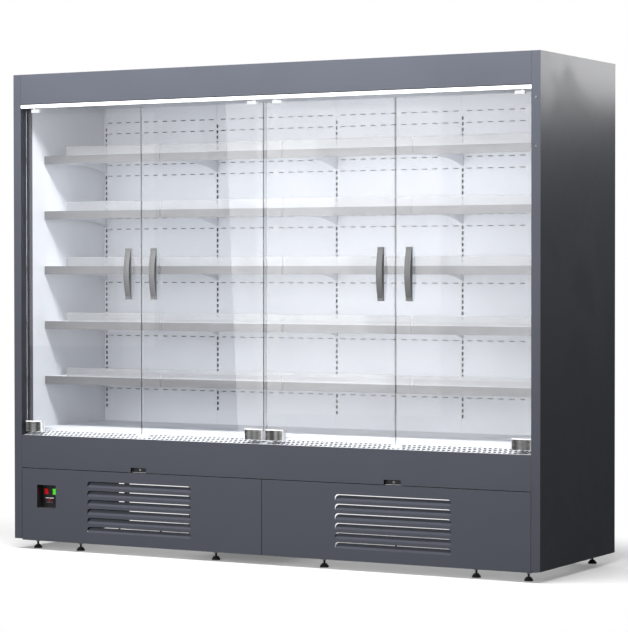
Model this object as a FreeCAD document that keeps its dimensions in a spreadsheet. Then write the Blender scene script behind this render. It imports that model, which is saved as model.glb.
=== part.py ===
import FreeCAD, Part
import math
import os
import re

import Sketcher

# Multideck display fridge with four hinged glass doors, in millimetres.
# X runs to the right along the front, Y from the front to the back, Z up from the floor.
# The origin is on the floor at the middle of the object's box.

bays = 4
rows = 5

sizes = {
    # case
    "bay_width": 625,
    "side_thick": 40,
    "case_depth": 782,
    "side_height": 2083,
    "floor_gap": 46,
    "steel": 1.2,
    "side_return": 90,
    "roof_thick": 80,
    "plenum_height": 37,
    "back_thick": 64,
    "duct_depth": 50,
    "fit_gap": 0.5,
    # canopy and light
    "fascia_height": 135,
    "fascia_return": 30,
    "canopy_depth": 112,
    "light_height": 15,
    "light_depth": 21,
    "diffuser_wall": 1.5,
    "housing_height": 10,
    "rail_depth": 28,
    "rail_height": 40,
    "rail_wall": 2.5,
    "outlet_height": 20,
    "outlet_cell": 20,
    "outlet_web": 4,
    # front of the base
    "kick_gap": 41,
    "kick_height": 326,
    "kick_return": 40,
    "kick_joint": 3,
    "bumper_height": 146,
    "bumper_depth": 18,
    "notch_width": 80,
    "notch_height": 21,
    "louvre_base": 51,
    "louvre_pitch": 40,
    "louvre_width": 540,
    "louvre_height": 26,
    "louvre_radius": 15,
    "louvre_angle": 35,
    # well, deck and grille
    "tub_wall": 40,
    "tub_drop": 7,
    "deck_rise": 29,
    "deck_front": 112,
    "deck_lip": 15,
    "grille_drop": 12,
    "hole_width": 15,
    "hole_length": 24,
    "hole_pitch": 23,
    "hole_row_pitch": 29,
    "hole_margin": 8,
    # back wall
    "dash_width": 26,
    "dash_height": 4,
    "dash_pitch": 51,
    "dash_drop": 27,
    "dash_row_gap": 51,
    "upright_width": 20,
    "upright_depth": 25,
    "upright_wall": 2,
    "upright_gap": 11,
    "slot_width": 9,
    "slot_height": 15,
    "slot_pitch": 25,
    "slot_margin": 64,
    "slot_top_margin": 70,
    "shelf_slots": 10,
    "first_slot": 6,
    # shelves
    "shelf_setback": 181,
    "price_rail_height": 36,
    "price_rail_depth": 9,
    "price_rail_wall": 2,
    "tray_flange": 34,
    "tray_lip": 15,
    "bracket_thick": 2,
    "bracket_gap": 1,
    "bracket_drop": 34,
    "bracket_curve": 213,
    "hook_depth": 5,
    "hook_height": 10,
    "shelf_joint": 3,
    "riser_start": 120,
    "riser_height": 41,
    "riser_thick": 3,
    "riser_radius": 12,
    # doors
    "door_setback": 29,
    "glass_thick": 6,
    "hinge_gap": 8,
    "meeting_gap": 2.5,
    "pivot_inset": 52,
    "door_lift": 19,
    "door_top_gap": 13,
    "patch_width": 87,
    "patch_height": 47,
    "patch_lip": 3,
    "patch_front": 13,
    "patch_back": 10,
    "patch_slot": 11,
    "patch_bore": 22,
    "patch_bevel": 3.5,
    "pin_radius": 6,
    "pin_collar": 9,
    "collar_gap": 3,
    "pin_base_length": 40,
    "pin_base_width": 20,
    "pin_base_height": 4,
    "running_gap": 0.05,
    "block_tail": 12,
    "block_length": 44,
    "block_depth": 14,
    "block_height": 15,
    "block_slot": 8,
    "stem_radius": 4,
    "stem_engage": 12,
    "handle_centre": 1237,
    "handle_length": 224,
    "handle_width": 27,
    "handle_reach": 24,
    "handle_side": 3,
    "handle_bevel": 2,
    "handle_flat": 1,
    "handle_plate": 3,
    "handle_end": 9,
    "handle_foot": 14,
    "handle_inset": 66,
    "handle_bolt": 4,
    "handle_cap": 8,
    "handle_cap_thick": 3,
    "stop_base": 60,
    "stop_top": 46,
    "stop_depth": 20,
    "stop_height": 21,
    "stop_gap": 1,
    # controls
    "control_inset": 82,
    "control_width": 103,
    "control_height": 103,
    "control_base": 148,
    "control_depth": 45,
    "control_wall": 1.5,
    "rocker_width": 20,
    "rocker_height": 25,
    "rocker_depth": 10,
    "rocker_stand": 4,
    "rocker_gap": 1,
    "rocker_wall": 2.5,
    "rocker_pin": 1.5,
    "rocker_angle": 7,
    "red_inset": 22,
    "green_inset": 67,
    "rocker_up": 71,
    "meter_width": 50,
    "meter_height": 26,
    "meter_depth": 12,
    "meter_stand": 4,
    "meter_up": 18,
    "meter_inset": 17,
    "window_width": 36,
    "window_height": 13,
    "window_sink": 1.5,
    # base frame and feet
    "frame_tube": 24,
    "frame_wall": 2,
    "frame_drop": 5,
    "frame_front": 55,
    "frame_back": 43,
    "post_width": 14,
    "post_inset": 75,
    "gusset_thick": 3,
    "gusset_height": 90,
    "foot_end": 40,
    "foot_second": 273,
    "foot_middle": 268,
    "foot_radius": 18.5,
    "foot_pad": 16,
    "foot_rim": 5,
    "foot_neck": 10,
    "foot_stem": 4.5,
    "foot_engage": 12,
    "nut_across": 17,
    "nut_height": 6,
    # machinery
    "machine_left": 415,
    "machine_rail": 305,
    "machine_tray_width": 435,
    "machine_tray_front": 90,
    "machine_tray_depth": 530,
    "machine_tray_rim": 12,
    "machine_width": 400,
    "machine_inset": 18,
    "condenser_front": 110,
    "condenser_depth": 60,
    "condenser_height": 240,
    "end_plate": 2,
    "tube_radius": 5,
    "tube_pitch": 40,
    "shroud_gap": 8,
    "condenser_fan_radius": 105,
    "compressor_radius": 82,
    "compressor_height": 215,
    "compressor_back": 450,
    "compressor_dome": 40,
    "coil_front": 300,
    "coil_depth": 300,
    "coil_height": 108,
    "coil_inset": 100,
    "fan_plate_front": 125,
    "fan_plate_foot": 24,
    "fan_plate_ledge": 20,
    "evaporator_fan_radius": 54,
    "evaporator_fan_up": 60,
    "fan_gap": 4,
    "hub_radius": 15,
    "hub_length": 14,
    "blade_half": 11,
    "blade_rise": 6,
    "blade_thick": 1.5,
    "motor_radius": 16,
    "motor_length": 18,
    "shaft_radius": 2.5,
    "shaft_length": 14,
    "cage_bar": 6,
    # small fasteners
    "screw_radius": 6,
    "screw_head": 3,
    "screw_shank": 3,
    "screw_length": 12,
    "screw_up": 11,
    "plug_radius": 4.5,
    "plug_thick": 2,
    "plug_drop": 186,
    "plug_pitch": 195,
}

# Places worked out from the sizes.
places = {
    "front": "-(case_depth - plug_thick) / 2",
    "half": f"{bays} * bay_width / 2",
    "kick_top": "kick_gap + kick_height",
    "bumper_top": "kick_top + bumper_height",
    "tub_floor": "kick_top + tub_wall",
    "tub_top": "bumper_top - tub_drop",
    "deck_top": "bumper_top + deck_rise",
    "case_top": "floor_gap + side_height",
    "canopy_base": "case_top - fascia_height",
    "light_base": "canopy_base - light_height",
    "roof_base": "case_top - roof_thick",
    "ceiling_base": "roof_base - plenum_height - steel",
    "back_front": "case_depth - back_thick",
    "duct_front": "back_front - duct_depth",
    "upright_front": "duct_front + steel + fit_gap",
    "panel_end": "(upright_width + upright_gap) / 2",
    "rail_front": "light_depth + fit_gap",
    "slot_start": "deck_top + slot_margin",
    "shelf_pitch": "shelf_slots * slot_pitch",
    "first_shelf": "slot_start + first_slot * slot_pitch + slot_height",
    "tray_front_edge": "shelf_setback + price_rail_depth",
    "door_plane": "door_setback + glass_thick / 2",
    "glass_base": "bumper_top + door_lift",
    "glass_top": "light_base - door_top_gap",
    "patch_base": "glass_base - patch_lip",
    "block_base": "glass_top - block_slot",
    "tail": "pivot_inset - hinge_gap",
    "rocker_plane": "control_depth",
    "control_left": "control_inset - half",
    "control_floor": "kick_gap + control_base",
    "frame_base": "kick_gap - frame_drop",
    "frame_top": "frame_base + frame_tube",
    "rear_rail": "case_depth - frame_back - frame_tube",
    "machine_base": "frame_top + end_plate",
}

word = re.compile(r"[a-z][a-z_0-9]*")
doc = FreeCAD.newDocument("display_fridge")
dims = doc.addObject("Spreadsheet::Sheet", "dims")
for line, (alias, size) in enumerate(sizes.items(), 1):
    dims.set(f"A{line}", alias)
    dims.set(f"B{line}", str(size))
    dims.setAlias(f"B{line}", alias)
doc.recompute()


def bound(text):
    """An expression on the sheet's cells, from words of sizes and places."""
    def swap(match):
        name = match.group()
        if name in places:
            return "(" + bound(places[name]) + ")"
        return "dims." + name if name in sizes else name
    return word.sub(swap, str(text))


def value(text):
    return float(dims.evalExpression(bound(text)))


def place(piece, x, y, z):
    """Put a piece at x, y behind the side panels' front edge, and z above the floor."""
    for axis, where in (("x", x), ("y", f"front + ({y})"), ("z", z)):
        piece.setExpression("Placement.Base." + axis, bound(where))
    return piece


def block(label, x, y, z, wide, deep, high):
    piece = doc.addObject("Part::Box", label)
    for side, size in (("Length", wide), ("Width", deep), ("Height", high)):
        piece.setExpression(side, bound(size))
    return place(piece, x, y, z)


turned = {
    "x": FreeCAD.Rotation(FreeCAD.Vector(0, 1, 0), 90),
    "y": FreeCAD.Rotation(FreeCAD.Vector(1, 0, 0), -90),
    "z": FreeCAD.Rotation(),
}


def rod(label, x, y, z, radius, length, axis="z"):
    """A round bar that starts at x, y, z and runs along the positive axis."""
    piece = doc.addObject("Part::Cylinder", label)
    piece.Placement = FreeCAD.Placement(FreeCAD.Vector(), turned[axis])
    piece.setExpression("Radius", bound(radius))
    piece.setExpression("Height", bound(length))
    return place(piece, x, y, z)


def join(label, pieces):
    made = doc.addObject("Part::MultiFuse", label)
    made.Shapes = pieces
    return made


def group(label, pieces):
    made = doc.addObject("Part::Compound", label)
    made.Links = pieces
    return made


def cut(label, piece, tools):
    made = doc.addObject("Part::Cut", label)
    made.Base = piece
    made.Tool = tools[0] if len(tools) == 1 else group(label + "_tools", tools)
    return made


def start(label):
    return doc.addObject("PartDesign::Body", label)


def draw(body, plane, corners=None):
    """A sketch on one of the body's own planes, with one closed loop if corners are given."""
    sketch = body.newObject("Sketcher::SketchObject", "Sketch")
    support = [flat for flat in body.Origin.OriginFeatures if flat.Role == plane]
    sketch.AttachmentSupport = [(support[0], "")]
    sketch.MapMode = "FlatFace"
    if corners:
        loop(sketch, corners)
    return sketch


def pin(sketch, side, end, x, y):
    """Hold one point of a sketch at x, y."""
    for kind, where in (("DistanceX", x), ("DistanceY", y)):
        held = sketch.addConstraint(Sketcher.Constraint(kind, -1, 1, side, end, value(where)))
        sketch.setExpression(f"Constraints[{held}]", bound(where))


def loop(sketch, corners):
    """A closed loop. A corner marked arc is reached by an arc tangent to the side before it."""
    points = [FreeCAD.Vector(value(corner[0]), value(corner[1]), 0) for corner in corners]
    up = FreeCAD.Vector(0, 0, 1)
    sides = []
    heading = None
    for number, begin in enumerate(points):
        after = (number + 1) % len(points)
        step = points[after] - begin
        if len(corners[after]) < 3:
            side = sketch.addGeometry(Part.LineSegment(begin, points[after]), False)
            sides.append((side, 1, 2, False))
            heading = step.normalize()
            continue
        left = up.cross(heading)
        reach = step.dot(step) / (2 * left.dot(step))
        centre = begin + left * reach
        spokes = (begin - centre, points[after] - centre)
        angles = [math.atan2(spoke.y, spoke.x) for spoke in spokes]
        ends = (1, 2) if reach > 0 else (2, 1)
        if reach < 0:
            angles.reverse()
        circle = Part.Circle(centre, up, abs(reach))
        side = sketch.addGeometry(Part.ArcOfCircle(circle, *angles), False)
        sides.append((side, *ends, True))
        heading = up.cross(spokes[1]).normalize() * (1 if reach > 0 else -1)
    for number, (side, begin, end, curved) in enumerate(sides):
        before = sides[number - 1]
        kind = "Tangent" if curved else "Coincident"
        sketch.addConstraint(Sketcher.Constraint(kind, before[0], before[2], side, begin))
        pin(sketch, side, begin, *corners[number][:2])


def ring(sketch, x, y, radius):
    centre = FreeCAD.Vector(value(x), value(y), 0)
    circle = Part.Circle(centre, FreeCAD.Vector(0, 0, 1), value(radius))
    side = sketch.addGeometry(circle, False)
    pin(sketch, side, 3, x, y)
    held = sketch.addConstraint(Sketcher.Constraint("Radius", side, value(radius)))
    sketch.setExpression(f"Constraints[{held}]", bound(radius))


def box_corners(left, low, right, high):
    return [(left, low), (right, low), (right, high), (left, high)]


def obround(left, low, high, wide):
    """A hole with round ends; low and high are its ends' centres."""
    return [(f"{left} + {wide}", low, "arc"), (f"{left} + {wide}", high), (left, high, "arc"), (left, low)]


def pad(body, sketch, length, back=False, both=False):
    made = body.newObject("PartDesign::Pad", "Pad")
    made.Profile = sketch
    made.setExpression("Length", bound(length))
    made.Reversed = back
    made.Midplane = both
    return made


def pocket(body, sketch, depth=None, back=False):
    """Cut a sketch through everything, or only as deep as depth."""
    made = body.newObject("PartDesign::Pocket", "Pocket")
    made.Profile = sketch
    if depth is None:
        made.Type = "ThroughAll"
        made.Midplane = True
    else:
        made.setExpression("Length", bound(depth))
        made.Reversed = back
    return made


def repeat(body, feature, along, pitch, count, across=None, across_pitch=None, across_count=1):
    """Repeat a feature along one direction of its sketch, or along two."""
    made = body.newObject("PartDesign::LinearPattern", "Pattern")
    made.Originals = [feature]
    made.Direction = along
    made.Mode = "Spacing"
    made.setExpression("Offset", bound(pitch))
    made.setExpression("Occurrences", bound(count))
    if across_count > 1:
        made.Direction2 = across
        made.Mode2 = "Extent"
        made.setExpression("Length2", bound(f"({across_pitch}) * ({across_count} - 1)"))
        made.setExpression("Occurrences2", bound(across_count))
    body.Tip = made
    return made


def copies(label, source, offsets):
    """Copies of one piece, moved by offsets given in words of the sheet."""
    made = doc.addObject("Part::Feature", label)
    arrays.append((made, source, offsets))
    return made


def mirrored(label, source):
    made = doc.addObject("Part::Mirroring", label)
    made.Source = source
    made.Normal = FreeCAD.Vector(1, 0, 0)
    return made


arrays = []
nodes = []


def node(piece):
    nodes.append(piece)
    return piece


def extrusion(label, profile, left, right):
    """A profile in Y and Z, extruded along X from left to right."""
    body = start(label)
    pad(body, draw(body, "YZ_Plane", profile), f"{right} - ({left})")
    return place(body, left, "0", "0")


# --- side panels -----------------------------------------------------------------------------

def side_skin(label):
    """A folded sheet: outer face, front edge and a return into the cabinet, with closed ends."""
    shell = block(label + "_block", "half", "0", "floor_gap", "side_thick", "case_depth", "side_height")
    core = block(label + "_core", "half + steel", "steel", "floor_gap + steel",
                 "side_thick - 2 * steel", "case_depth - 2 * steel", "side_height - 2 * steel")
    mouth = block(label + "_mouth", "half", "side_return", "floor_gap + steel",
                  "steel", "case_depth - side_return - steel", "side_height - 2 * steel")
    return cut(label, shell, [core, mouth])


node(side_skin("right_side_skin"))
node(mirrored("left_side_skin", side_skin("left_side_pattern")))

liner = block("right_liner", "half", "side_return", "floor_gap + steel",
              "steel", "case_depth - side_return - steel", "side_height - 2 * steel")
node(group("side_liners", [liner, mirrored("left_liner", liner)]))

side_core = block("right_side_core", "half + steel", "steel", "floor_gap + steel",
                  "side_thick - 2 * steel", "case_depth - 2 * steel", "side_height - 2 * steel")
back_core = block("back_core", "-half", "back_front + steel", "kick_top",
                  "2 * half", "back_thick - 2 * steel", "roof_base - kick_top")
roof_core = block("roof_core", "-half", "canopy_depth", "roof_base",
                  "2 * half", "case_depth - canopy_depth - steel", "roof_thick - steel")
node(group("insulation_cores", [side_core, mirrored("left_side_core", side_core), back_core, roof_core]))

# --- back and roof ---------------------------------------------------------------------------

node(block("back_skin", "-half", "case_depth - steel", "kick_top",
           "2 * half", "steel", "case_top - kick_top"))
node(block("back_liner", "-half", "back_front", "kick_top", "2 * half", "steel", "roof_base - kick_top"))
node(block("roof_skin", "-half", "fascia_return", "case_top - steel",
           "2 * half", "case_depth - fascia_return - steel", "steel"))
node(extrusion("ceiling_panel", [
    ("canopy_depth - steel", "canopy_base"),
    ("canopy_depth", "canopy_base"),
    ("canopy_depth", "ceiling_base"),
    ("duct_front", "ceiling_base"),
    ("duct_front", "ceiling_base + steel"),
    ("canopy_depth - steel", "ceiling_base + steel"),
], "-half", "half"))

# --- canopy ----------------------------------------------------------------------------------

node(extrusion("canopy_fascia", [
    ("0", "canopy_base"),
    ("light_depth", "canopy_base"),
    ("light_depth", "canopy_base + steel"),
    ("steel", "canopy_base + steel"),
    ("steel", "case_top - steel"),
    ("fascia_return", "case_top - steel"),
    ("fascia_return", "case_top"),
    ("0", "case_top"),
], "-half + fit_gap", "half - fit_gap"))

node(extrusion("light_diffuser", [
    ("fit_gap", "light_base"),
    ("light_depth", "light_base"),
    ("light_depth", "canopy_base"),
    ("light_depth - diffuser_wall", "canopy_base"),
    ("light_depth - diffuser_wall", "light_base + diffuser_wall"),
    ("fit_gap + diffuser_wall", "light_base + diffuser_wall"),
    ("fit_gap + diffuser_wall", "canopy_base"),
    ("fit_gap", "canopy_base"),
], "-half + fit_gap", "half - fit_gap"))

node(block("light_housing", "-half + 2 * fit_gap", "fit_gap + diffuser_wall", "canopy_base - housing_height",
           "2 * half - 4 * fit_gap", "light_depth - fit_gap - 2 * diffuser_wall", "housing_height"))

rail_block = block("canopy_rail_block", "-half", "rail_front", "canopy_base",
                   "2 * half", "rail_depth", "rail_height")
rail_bore = block("canopy_rail_bore", "-half", "rail_front + rail_wall", "canopy_base + rail_wall",
                  "2 * half", "rail_depth - 2 * rail_wall", "rail_height - 2 * rail_wall")
# Doors one to four: the X of each pivot axis and the side that the door reaches to from it.
doors = {
    1: ("-half + pivot_inset", 1),
    2: ("-pivot_inset", -1),
    3: ("pivot_inset", 1),
    4: ("half - pivot_inset", -1),
}
rail_bores = [
    rod(f"canopy_rail_bore_{number}", axis, "door_plane", "canopy_base",
        "stem_radius + running_gap", "rail_wall")
    for number, (axis, reach) in doors.items()
]
node(cut("canopy_rail", rail_block, [rail_bore] + rail_bores))


def air_outlet():
    """A comb of open cells between the canopy rail and the ceiling panel."""
    body = start("air_outlet_honeycomb")
    depth = "(canopy_depth - steel - rail_front - rail_depth)"
    pitch = "(outlet_cell + outlet_web)"
    count = f"floor((2 * half - 2 * outlet_web) / {pitch})"
    pad(body, draw(body, "XY_Plane", box_corners("0", "0", "2 * half", depth)), "outlet_height")
    cell_depth = f"({depth} - 3 * outlet_web) / 2"
    cell = draw(body, "XY_Plane", box_corners("outlet_web", "outlet_web", "outlet_web + outlet_cell",
                                              f"outlet_web + {cell_depth}"))
    repeat(body, pocket(body, cell), (cell, ["H_Axis"]), pitch, count,
           (cell, ["V_Axis"]), f"{cell_depth} + outlet_web", 2)
    return place(body, "-half", "rail_front + rail_depth", "canopy_base")


node(air_outlet())

# --- back wall -------------------------------------------------------------------------------

def duct_panel(label, left, right):
    """A bay's sheet, from left to right in the bay, with pairs of rows of short air slots."""
    body = start(label)
    high = "ceiling_base - deck_top"
    pad(body, draw(body, "XZ_Plane", box_corners(left, "0", right, high)), "steel", back=True)
    count = "floor((bay_width - 2 * dash_width) / dash_pitch) + 1"
    first = f"(bay_width - ({count} - 1) * dash_pitch - dash_width) / 2"
    lowest = "first_shelf - deck_top - dash_drop"
    highest = f"{lowest} + {rows} * shelf_pitch - 2 * dash_row_gap"
    for low, pitch, lines in ((lowest, "shelf_pitch", rows),
                              (f"{lowest} - dash_row_gap", "shelf_pitch", rows),
                              (highest, "dash_row_gap", 2)):
        dash = draw(body, "XZ_Plane", box_corners(first, low, f"{first} + dash_width", f"{low} + dash_height"))
        repeat(body, pocket(body, dash), (dash, ["H_Axis"]), "dash_pitch", count,
               (dash, ["V_Axis"]), pitch, lines)
    return place(body, "-half", "duct_front", "deck_top")


# The sheets leave a gap in front of each upright, where the shelf brackets hook in.
end_panel = duct_panel("duct_panel_left", "panel_end", "bay_width - upright_gap / 2")
middle_panel = duct_panel("duct_panel_pattern", "upright_gap / 2", "bay_width - upright_gap / 2")
node(group("back_duct_panels", [
    end_panel,
    copies("duct_panels_middle", middle_panel, [(f"{bay} * bay_width", "0", "0") for bay in range(1, bays - 1)]),
    mirrored("duct_panel_right", end_panel),
]))


def upright():
    """A square tube, slotted down its front, on the plane of a bay's edge."""
    body = start("upright_pattern")
    high = "ceiling_base - deck_top"
    outer = draw(body, "XY_Plane", box_corners("-upright_width / 2", "0",
                                               "upright_width / 2", "upright_depth"))
    loop(outer, box_corners("-upright_width / 2 + upright_wall", "upright_wall",
                            "upright_width / 2 - upright_wall", "upright_depth - upright_wall"))
    pad(body, outer, high)
    count = f"floor(({high} - slot_margin - slot_top_margin) / slot_pitch)"
    slot = draw(body, "XZ_Plane", box_corners("-slot_width / 2", "slot_margin", "slot_width / 2",
                                              "slot_margin + slot_height"))
    repeat(body, pocket(body, slot, "2 * upright_wall"), (slot, ["V_Axis"]), "slot_pitch", count)
    return place(body, "0", "upright_front", "deck_top")


upright_places = ["-half + upright_width / 2"]
upright_places += [f"{bay} * bay_width - half" for bay in range(1, bays)]
upright_places += ["half - upright_width / 2"]
node(copies("shelf_uprights", upright(), [(x, "0", "0") for x in upright_places]))

# --- shelves ---------------------------------------------------------------------------------

for row in range(rows):
    top = f"(first_shelf + {row} * shelf_pitch)"
    tray_back = "(duct_front - fit_gap - tray_front_edge)"
    sheets = start(f"shelf_sheets_{row + 1}")
    section = draw(sheets, "YZ_Plane", [
        ("0", "-tray_flange"),
        ("steel", "-tray_flange"),
        ("steel", "-steel"),
        (tray_back, "-steel"),
        (tray_back, "0"),
        ("0", "0"),
    ])
    repeat(sheets, pad(sheets, section, "bay_width - fit_gap"), (section, ["N_Axis"]), "bay_width", bays)
    # A strip welded on each sheet's back edge keeps the goods off the back wall.
    strips = start(f"shelf_stops_{row + 1}")
    section = draw(strips, "YZ_Plane", box_corners(f"{tray_back} - steel", "0", tray_back, "tray_lip"))
    repeat(strips, pad(strips, section, "bay_width - fit_gap"), (section, ["N_Axis"]), "bay_width", bays)
    for piece in (sheets, strips):
        place(piece, "-half + fit_gap / 2", "tray_front_edge", top)
    node(group(f"shelf_trays_{row + 1}", [sheets, strips]))

rails = start("price_rails")
section = draw(rails, "YZ_Plane", [
    ("0", "-price_rail_height"),
    ("price_rail_depth", "-price_rail_height"),
    ("price_rail_depth", "-price_rail_height + price_rail_wall"),
    ("price_rail_wall", "-price_rail_height + price_rail_wall"),
    ("price_rail_wall", "-price_rail_wall"),
    ("price_rail_depth", "-price_rail_wall"),
    ("price_rail_depth", "0"),
    ("0", "0"),
])
repeat(rails, pad(rails, section, "bay_width - shelf_joint"), (section, ["N_Axis"]), "bay_width", bays,
       (section, ["V_Axis"]), "shelf_pitch", rows)
node(place(rails, "-half + shelf_joint / 2", "shelf_setback", "first_shelf"))

risers = start("riser_strips")
riser = draw(risers, "XZ_Plane", [
    ("0", "0"),
    ("bay_width - shelf_joint", "0"),
    ("bay_width - shelf_joint", "riser_height - riser_radius"),
    ("bay_width - shelf_joint - riser_radius", "riser_height", "arc"),
    ("riser_radius", "riser_height"),
    ("0", "riser_height - riser_radius", "arc"),
])
repeat(risers, pad(risers, riser, "riser_thick", back=True), (riser, ["H_Axis"]), "bay_width", bays,
       (riser, ["V_Axis"]), "shelf_pitch", rows)
place(risers, "-half + shelf_joint / 2", "shelf_setback + price_rail_wall + fit_gap", "first_shelf")
# The strips of the first bay start short of the side panel.
node(cut("shelf_risers", risers, [block("riser_end", "-half", "shelf_setback", "first_shelf", "riser_start",
                                        "price_rail_depth + riser_thick", f"{rows} * shelf_pitch")]))


def bracket():
    """A gusset that hooks into the upright, with its top under the tray."""
    body = start("bracket_pattern")
    deep = "(upright_front - tray_front_edge - steel - fit_gap)"
    low = "-(bracket_drop + slot_height + slot_pitch - 2 * steel - price_rail_wall * 2)"
    lower_hook = "-(2 * slot_pitch + slot_height) + price_rail_wall"
    upper_hook = "-slot_height + price_rail_wall"
    pad(body, draw(body, "YZ_Plane", [
        ("0", "-bracket_drop"),
        (f"{deep} - bracket_curve", "-bracket_drop"),
        (deep, low, "arc"),
        (deep, lower_hook),
        (f"{deep} + hook_depth", lower_hook),
        (f"{deep} + hook_depth", f"{lower_hook} + hook_height"),
        (deep, f"{lower_hook} + hook_height"),
        (deep, upper_hook),
        (f"{deep} + hook_depth", upper_hook),
        (f"{deep} + hook_depth", f"{upper_hook} + hook_height"),
        (deep, f"{upper_hook} + hook_height"),
        (deep, "-steel"),
        ("0", "-steel"),
    ]), "bracket_thick")
    return place(body, "0", "tray_front_edge + steel + fit_gap", "first_shelf")


bracket_places = [f"{x} + bracket_gap" for x in upright_places[:-1]]
bracket_places += [f"{x} - bracket_gap - bracket_thick" for x in upright_places[1:]]
node(copies("shelf_brackets", bracket(), [
    (x, "0", f"{row} * shelf_pitch") for row in range(rows) for x in bracket_places
]))

# --- deck and intake grille ------------------------------------------------------------------

deck = start("deck_panels")
section = draw(deck, "YZ_Plane", [
    ("deck_front", "deck_top - deck_lip"),
    ("deck_front + steel", "deck_top - deck_lip"),
    ("deck_front + steel", "deck_top - steel"),
    ("duct_front - fit_gap", "deck_top - steel"),
    ("duct_front - fit_gap", "deck_top"),
    ("deck_front", "deck_top"),
])
repeat(deck, pad(deck, section, "bay_width - fit_gap"), (section, ["N_Axis"]), "bay_width", bays)
node(place(deck, "-half + fit_gap / 2", "0", "0"))

grille_back = "(deck_front - fit_gap)"
grille_rise = f"((deck_rise - grille_drop) / ({grille_back} - bumper_depth))"


def intake_grille(label, left, pivots):
    """A sloping perforated sheet over one pair of bays, with clearance round the floor pins."""
    body = start(label)
    section = draw(body, "YZ_Plane", [
        ("bumper_depth", "tub_top"),
        ("bumper_depth + steel", "tub_top"),
        ("bumper_depth + steel", "bumper_top - steel"),
        (grille_back, "deck_top - grille_drop - steel"),
        (grille_back, "deck_top - grille_drop"),
        ("bumper_depth", "bumper_top"),
    ])
    pad(body, section, "2 * bay_width - fit_gap")
    count = "floor((2 * bay_width - 2 * hole_margin - hole_pitch / 2) / hole_pitch)"
    middle = f"(bumper_depth + {grille_back}) / 2"
    end = "(hole_length - hole_width) / 2"
    for shift, y, lines in (("0", f"{middle} - hole_row_pitch", 2), ("hole_pitch / 2", middle, 1)):
        outline = obround(f"hole_margin + {shift}", f"{y} - {end}", f"{y} + {end}", "hole_width")
        hole = draw(body, "XY_Plane", outline)
        repeat(body, pocket(body, hole), (hole, ["H_Axis"]), "hole_pitch", count,
               (hole, ["V_Axis"]), "2 * hole_row_pitch", lines)
    rings = draw(body, "XY_Plane")
    for x in pivots:
        ring(rings, f"{x} - ({left})", "door_plane", "pin_collar + collar_gap")
    pocket(body, rings)
    return place(body, left, "0", "0")


node(group("intake_grilles", [
    intake_grille("intake_grille_left", "-half + fit_gap / 2", ["-half + pivot_inset", "-pivot_inset"]),
    intake_grille("intake_grille_right", "fit_gap / 2", ["pivot_inset", "half - pivot_inset"]),
]))

# --- well ------------------------------------------------------------------------------------

tub = start("insulated_tub")
pad(tub, draw(tub, "YZ_Plane", [
    ("bumper_depth", "kick_top"),
    ("back_front", "kick_top"),
    ("back_front", "tub_floor"),
    ("bumper_depth + tub_wall", "tub_floor"),
    ("bumper_depth + tub_wall", "tub_top"),
    ("bumper_depth", "tub_top"),
]), "2 * half")
screw_holes = draw(tub, "XZ_Plane")
for side in (-1, 1):
    ring(screw_holes, f"half + {side} * bay_width", "kick_top + screw_up", "screw_shank + running_gap")
pocket(tub, screw_holes, "bumper_depth + screw_length + fit_gap")
node(place(tub, "-half", "0", "0"))


def fan_cage(label, x, y, z, reach):
    """Two posts and a crossbar behind a plate, with the motor in the middle of the bar."""
    far = "(hub_length + fan_gap + motor_length)"
    posts = [
        block(f"{label}_post_{side}", f"{x} + {side} * ({reach} + cage_bar) - cage_bar / 2", y,
              f"{z} - cage_bar", "cage_bar", far, "2 * cage_bar")
        for side in (-1, 1)
    ]
    bar = block(f"{label}_bar", f"{x} - {reach} - 1.5 * cage_bar", f"{y} + {far}", f"{z} - cage_bar",
                f"2 * {reach} + 3 * cage_bar", "cage_bar", "2 * cage_bar")
    motor = rod(f"{label}_motor", x, f"{y} + hub_length + fan_gap", z, "motor_radius", "motor_length", "y")
    bore = rod(f"{label}_bore", x, f"{y} + hub_length + fan_gap", z, "shaft_radius + running_gap",
               "shaft_length", "y")
    return posts + [bar, motor], bore


def fan_rotor(label, x, y, z, radius):
    """A hub with five pitched blades and a shaft that runs in the motor."""
    body = start(label)
    hub = draw(body, "XY_Plane")
    ring(hub, "0", "0", "hub_radius")
    pad(body, hub, "hub_length")
    stub = draw(body, "XY_Plane")
    ring(stub, "0", "0", "shaft_radius")
    pad(body, stub, "hub_length + fan_gap + shaft_length - 2 * fit_gap")
    blade = draw(body, "YZ_Plane", [
        ("-blade_half", "hub_length / 2 - blade_rise"),
        ("-blade_half + 2 * blade_thick", "hub_length / 2 - blade_rise"),
        ("blade_half", "hub_length / 2 + blade_rise"),
        ("blade_half - 2 * blade_thick", "hub_length / 2 + blade_rise"),
    ])
    wing = pad(body, blade, radius)
    fan = body.newObject("PartDesign::PolarPattern", "Pattern")
    fan.Originals = [wing]
    fan.Axis = (hub, ["N_Axis"])
    fan.Angle = 360
    fan.Occurrences = 5
    body.Tip = fan
    body.Placement = FreeCAD.Placement(FreeCAD.Vector(), turned["y"])
    return place(body, x, y, z)


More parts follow.
